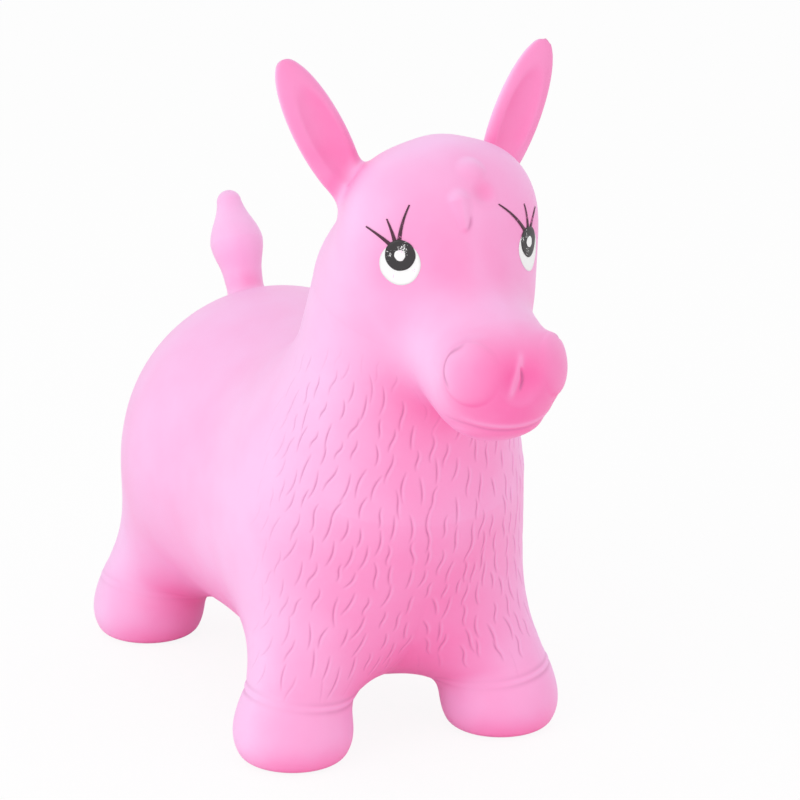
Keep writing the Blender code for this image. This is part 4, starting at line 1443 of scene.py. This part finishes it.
# Each ink or plain plastic: its colour, the colour that shows where it is worn, how far both wear
# levels come down, and its roughness
INKS = {
    "white_pad_print": ("white_print", "pale", -0.06, 0.42),
    "black_pad_print": ("black_print", "white_print", 0.0, 0.38),
    "black_pad_print_thin": ("lash_print", "groove", 0.05, 0.42),
    # The valve's bush: moulded soft PVC, evenly hot pink
    "soft_pvc_moulded": ("groove", "pale", -0.04, 0.45),
    # The plug: injection-moulded polypropylene, an even, slightly waxy white
    "polypropylene_moulded": ("plug", "white_print", -0.02, 0.35),
}

PAPER_ROUGHNESS = {"To Min": 0.85, "To Max": 0.95}
PAPER_SPECULAR = 0.1
# How much of the paper's light to the camera is its own
PAPER_OWN_WHITE = 0.90


def feed(node, inputs):
    """Sets a node's inputs: each to a value, a socket, or another node's first output."""
    for name, value in dict(inputs).items():
        if isinstance(value, bpy.types.Node):
            value = value.outputs[0]
        if isinstance(value, bpy.types.NodeSocket):
            node.id_data.links.new(value, node.inputs[name])
        else:
            node.inputs[name].default_value = value


def add_node(tree, kind, inputs=(), **choices):
    """A shader node with its choices and inputs."""
    node = tree.nodes.new(f"ShaderNode{kind}")
    for name, value in choices.items():
        setattr(node, name, value)
    feed(node, inputs)
    return node


def new_finish(name):
    """(material, its node tree, its surface shader), or the one made before and two Nones."""
    made = bpy.data.materials.get(name)
    if made:
        return made, None, None
    made = bpy.data.materials.new(name)
    made.use_nodes = True
    return made, made.node_tree, made.node_tree.nodes["Principled BSDF"]


def soft_pvc():
    """Soft PVC, rotomoulded in a satin mould: an even satin face with broad, weak highlights. Its colour
    carries painted shade, a hotter pink in folds and on lower and forward faces and a darker pink in the
    strokes' grooves, and a painted highlight, pale pink, on the strokes' raised lips."""
    made, tree, surface = new_finish("soft_pvc_rotomoulded")
    if not tree:
        return made
    colours = settings().colours
    painted_shade = add_node(tree, "Attribute", attribute_name="painted_shade").outputs["Fac"]
    groove = add_node(tree, "Attribute", attribute_name="groove").outputs["Fac"]
    spot = add_node(tree, "Attribute", attribute_name="rest_place").outputs["Vector"]
    cloud = add_node(tree, "TexNoise", {"Vector": spot, **CLOUDS})
    drift = add_node(tree, "MapRange", {"Value": cloud, **NOISE_RANGE, **COLOUR_DRIFT})
    # Painted shade, with a random drift in the pink's tone
    painted_shade_and_drift = add_node(tree, "Math", {0: painted_shade, 1: drift}, operation="ADD", use_clamp=True)
    pink = add_node(tree, "ValToRGB", {"Fac": painted_shade_and_drift})
    ramp = pink.color_ramp.elements
    ramp[0].color = (*colours.pale, 1)
    ramp[1].color = (*colours.painted_shade_pink, 1)
    ramp.new(MIDDLE_SHADE_PINK_AT).color = (*colours.middle, 1)
    # Painted highlight on the strokes' raised lips, and painted shade in their grooves
    raised = add_node(tree, "MapRange", {"Value": groove, **LIP_PAINTED_HIGHLIGHT})
    deep = add_node(tree, "MapRange", {"Value": groove, **GROOVE_PAINTED_SHADE})
    seen = pink
    for part, colour in ((raised, colours.pale), (deep, colours.groove)):
        both = {FIRST: seen, SECOND: (*colour, 1)}
        seen = add_node(tree, "Mix", {"Factor": part, **both}, data_type="RGBA").outputs[MIXED]
    grain = add_node(tree, "TexNoise", {"Vector": spot, **GRAIN})
    dull = add_node(tree, "MapRange", {"Value": grain, **NOISE_RANGE, **PVC_ROUGHNESS})
    bump = add_node(tree, "Bump", {"Height": grain, **GRAIN_BUMP})
    feed(surface, {"Base Color": seen, "Roughness": dull, "Normal": bump, "IOR": PVC_IOR})
    return made


def worn(name):
    """Pad-printed ink, or a plain moulding: flat and satin, with pinholes and rubbed patches where
    what lies under it shows."""
    made, tree, surface = new_finish(name)
    if not tree:
        return made
    colour, under, wear, roughness = INKS[name]
    ink, bare = ((*getattr(settings().colours, paint_name), 1) for paint_name in (colour, under))
    spot = add_node(tree, "TexCoord").outputs["Object"]
    specks = add_node(tree, "TexNoise", {"Vector": spot, **PINHOLES})
    patches = add_node(tree, "TexNoise", {"Vector": spot, **PATCHES})
    both = add_node(tree, "Math", {0: specks, 1: patches}, operation="MULTIPLY")
    low, high = (level - wear for level in WEAR_LEVELS)
    gone = add_node(tree, "MapRange", {"Value": both, "From Min": low, "From Max": high})
    both = {FIRST: ink, SECOND: bare}
    seen = add_node(tree, "Mix", {"Factor": gone, **both}, data_type="RGBA").outputs[MIXED]
    low, high = roughness - INK_ROUGHNESS_SPREAD, roughness + INK_ROUGHNESS_SPREAD
    dull = add_node(tree, "MapRange", {"Value": specks, "To Min": low, "To Max": high})
    feed(surface, {"Base Color": seen, "Roughness": dull, "IOR": INK_IOR})
    return made


# Air valve

EDGE_SEGMENTS = 3
# Height of a rib as a share of the ribs' pitch, and the dish in the plug's head as shares of its
# radius: its rim and its floor
RIB_HEIGHT = 0.6
DISH_RIM = 0.62
DISH_FLOOR = 0.50


def turned(name, profile, finish):
    """A shape turned round the valve's axis from (radius, height) points, with eased edges."""
    sizes = settings().valve
    mesh = bpy.data.meshes.new(name)
    with edited(mesh) as form:
        verts = [form.verts.new((radius, 0, height)) for radius, height in profile]
        for first, second in zip(verts, verts[1:]):
            form.edges.new((first, second))
        if profile[0][0] > 0:
            form.edges.new((verts[-1], verts[0]))
        round_z = {"axis": (0, 0, 1), "cent": (0, 0, 0), "angle": 2 * pi, "steps": RING_STEPS}
        bmesh.ops.spin(form, geom=[*form.verts, *form.edges], use_merge=True, **round_z)
        bmesh.ops.remove_doubles(form, verts=form.verts, dist=MERGE_DISTANCE)
        bmesh.ops.recalc_face_normals(form, faces=form.faces)
    mesh.shade_smooth()
    mesh.materials.append(finish)
    thing = new_object(name, mesh)
    thing.location = (0, sizes.along, 0)
    edge = thing.modifiers.new("Eased edges", "BEVEL")
    edge.width = sizes.edge
    edge.segments = EDGE_SEGMENTS
    edge.limit_method = "ANGLE"
    edge.harden_normals = True
    return thing


class HORSE_OT_valve(bpy.types.Operator):
    """Makes the air valve in the belly: its flanged bush and ribbed plug"""

    bl_idname = "horse.valve"
    bl_label = "Air valve"

    def execute(self, context):
        sizes = settings().valve
        low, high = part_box("valve_bush")
        flange_top = low.z + sizes.flange_thickness
        bush = turned(
            "valve_bush_moulding",
            [
                (sizes.bore, high.z),
                (sizes.radius, high.z),
                (sizes.radius, flange_top),
                (sizes.flange_radius, flange_top),
                (sizes.flange_radius, low.z + sizes.lip),
                (sizes.flange_radius - sizes.lip, low.z),
                (sizes.bore + sizes.lip, low.z),
                (sizes.bore, low.z + sizes.lip),
            ],
            worn("soft_pvc_moulded"),
        )
        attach(bush, "trunk")
        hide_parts("valve_bush")
        low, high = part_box("valve_plug")
        head_top = low.z + sizes.head_thickness
        profile = [(0, high.z), (sizes.shank_radius, high.z - sizes.edge)]
        pitch = (high.z - head_top) / (sizes.ribs + 1)
        for rib in range(sizes.ribs):
            top = high.z - pitch * (rib + 1 / 2)
            profile += [
                (sizes.shank_radius, top),
                (sizes.rib_radius, top - pitch / 2),
                (sizes.shank_radius, top - pitch * RIB_HEIGHT),
            ]
        profile += [
            (sizes.shank_radius, head_top),
            (sizes.head_radius, head_top),
            (sizes.head_radius, low.z + sizes.edge),
            (sizes.head_radius * DISH_RIM, low.z),
            (sizes.head_radius * DISH_FLOOR, low.z + sizes.edge),
            (0, low.z + sizes.edge),
        ]
        plug = turned("valve_plug_moulding", profile, worn("polypropylene_moulded"))
        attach(plug, "plug")
        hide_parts("valve_plug")
        return {"FINISHED"}


# Studio

LAMP_AIM = (0, 0, 0.25)
FLOOR_SQUARES = 4
SENSOR_WIDTH = 36


def backdrop_finish():
    """Matt white paper: it takes the horse's shadow, and to the camera it is partly its own white."""
    made, tree, surface = new_finish("matt_white_paper")
    colour = (*settings().colours.sweep, 1)
    spot = add_node(tree, "TexCoord").outputs["Object"]
    fibres = add_node(tree, "TexNoise", {"Vector": spot, **FIBRES})
    dull = add_node(tree, "MapRange", {"Value": fibres, **PAPER_ROUGHNESS})
    feed(surface, {"Base Color": colour, "Roughness": dull, "Specular IOR Level": PAPER_SPECULAR})
    seen = add_node(tree, "LightPath").outputs["Is Camera Ray"]
    part = add_node(tree, "Math", {0: seen, 1: PAPER_OWN_WHITE}, operation="MULTIPLY")
    glow = add_node(tree, "Emission", {"Color": colour, "Strength": 1})
    both = add_node(tree, "MixShader", {0: part, 1: surface, 2: glow})
    feed(tree.nodes["Material Output"], {"Surface": both})
    return made


def add_lamp(name, where, size, watts):
    """A large soft lamp that points at the horse."""
    data = bpy.data.lights.new(name, "AREA")
    data.size = size
    data.energy = watts
    thing = new_object(name, data)
    thing.location = where
    thing.rotation_euler = (Vector(LAMP_AIM) - Vector(where)).to_track_quat("-Z", "Y").to_euler()


def room_light():
    """The studio's even light; the camera, gloss and glass see it as white."""
    world = bpy.data.worlds.new("white_studio")
    bpy.context.scene.world = world
    world.use_nodes = True
    tree = world.node_tree
    even = tree.nodes["Background"]
    feed(even, {"Color": WHITE, "Strength": settings().stage.room})
    white = add_node(tree, "Background", {"Color": WHITE, "Strength": 1})
    rays = add_node(tree, "LightPath")
    seen = rays.outputs["Is Camera Ray"]
    for kind in ("Is Glossy Ray", "Is Transmission Ray"):
        seen = add_node(tree, "Math", {0: seen, 1: rays.outputs[kind]}, operation="MAXIMUM")
    both = add_node(tree, "MixShader", {0: seen, 1: even, 2: white})
    feed(tree.nodes["World Output"], {"Surface": both})


class HORSE_OT_stage(bpy.types.Operator):
    """Sets up the white floor, the soft lamps and the camera"""

    bl_idname = "horse.stage"
    bl_label = "Studio"

    def execute(self, context):
        sizes = settings().stage
        mesh = bpy.data.meshes.new("paper_floor")
        squares = {"x_segments": FLOOR_SQUARES, "y_segments": FLOOR_SQUARES}
        with edited(mesh) as form:
            bmesh.ops.create_grid(form, size=sizes.floor / 2, **squares)
        mesh.materials.append(backdrop_finish())
        floor = new_object("paper_floor", mesh)
        floor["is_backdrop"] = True
        add_lamp("key_lamp", sizes.key, sizes.lamp_size, sizes.key_power)
        add_lamp("fill_lamp", sizes.fill, sizes.lamp_size, sizes.fill_power)
        room_light()
        data = bpy.data.cameras.new("camera")
        data.sensor_width = SENSOR_WIDTH
        data.lens = sizes.lens
        camera = new_object("camera", data)
        camera.location = sizes.camera
        look = (Vector(sizes.aim) - Vector(sizes.camera)).to_track_quat("-Z", "Y")
        camera.rotation_mode = "QUATERNION"
        camera.rotation_quaternion = look @ Quaternion((0, 0, 1), sizes.roll)
        bpy.context.scene.camera = camera
        bpy.context.scene.view_settings.view_transform = "Standard"
        return {"FINISHED"}


class HORSE_PT_panel(bpy.types.Panel):
    """Lists the horse's pieces and their sizes"""

    bl_idname = "HORSE_PT_panel"
    bl_label = "Ride-on horse"
    bl_space_type = "VIEW_3D"
    bl_region_type = "UI"
    bl_category = "Ride-on horse"

    def draw(self, context):
        for operator in OPERATORS:
            self.layout.operator(operator.bl_idname)
        for name, group in GROUPS.items():
            box = self.layout.box()
            box.label(text=name.capitalize())
            for size in group.__annotations__:
                box.prop(getattr(settings(), name), size)


OPERATORS = (
    HORSE_OT_mould,
    HORSE_OT_trunk,
    HORSE_OT_head,
    HORSE_OT_ears,
    HORSE_OT_tail,
    HORSE_OT_legs,
    HORSE_OT_eyes,
    HORSE_OT_valve,
    HORSE_OT_stage,
)
CLASSES = (*GROUPS.values(), HorseSettings, *OPERATORS, HORSE_PT_panel)


def register():
    for cls in CLASSES:
        bpy.utils.register_class(cls)
    bpy.types.Scene.ride_on_horse = PointerProperty(type=HorseSettings)


def unregister():
    del bpy.types.Scene.ride_on_horse
    for cls in reversed(CLASSES):
        bpy.utils.unregister_class(cls)


def main():
    register()
    bpy.ops.horse.mould()
    bpy.ops.horse.trunk()
    bpy.ops.horse.head()
    bpy.ops.horse.ears()
    bpy.ops.horse.tail()
    bpy.ops.horse.legs()
    bpy.ops.horse.eyes()
    bpy.ops.horse.valve()
    bpy.ops.horse.stage()
    boxes = {"cad": cad_box, "visual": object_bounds()}
    {name: [list(corner) for corner in box] for name, box in boxes.items()}


if __name__ == "__main__":
    main()
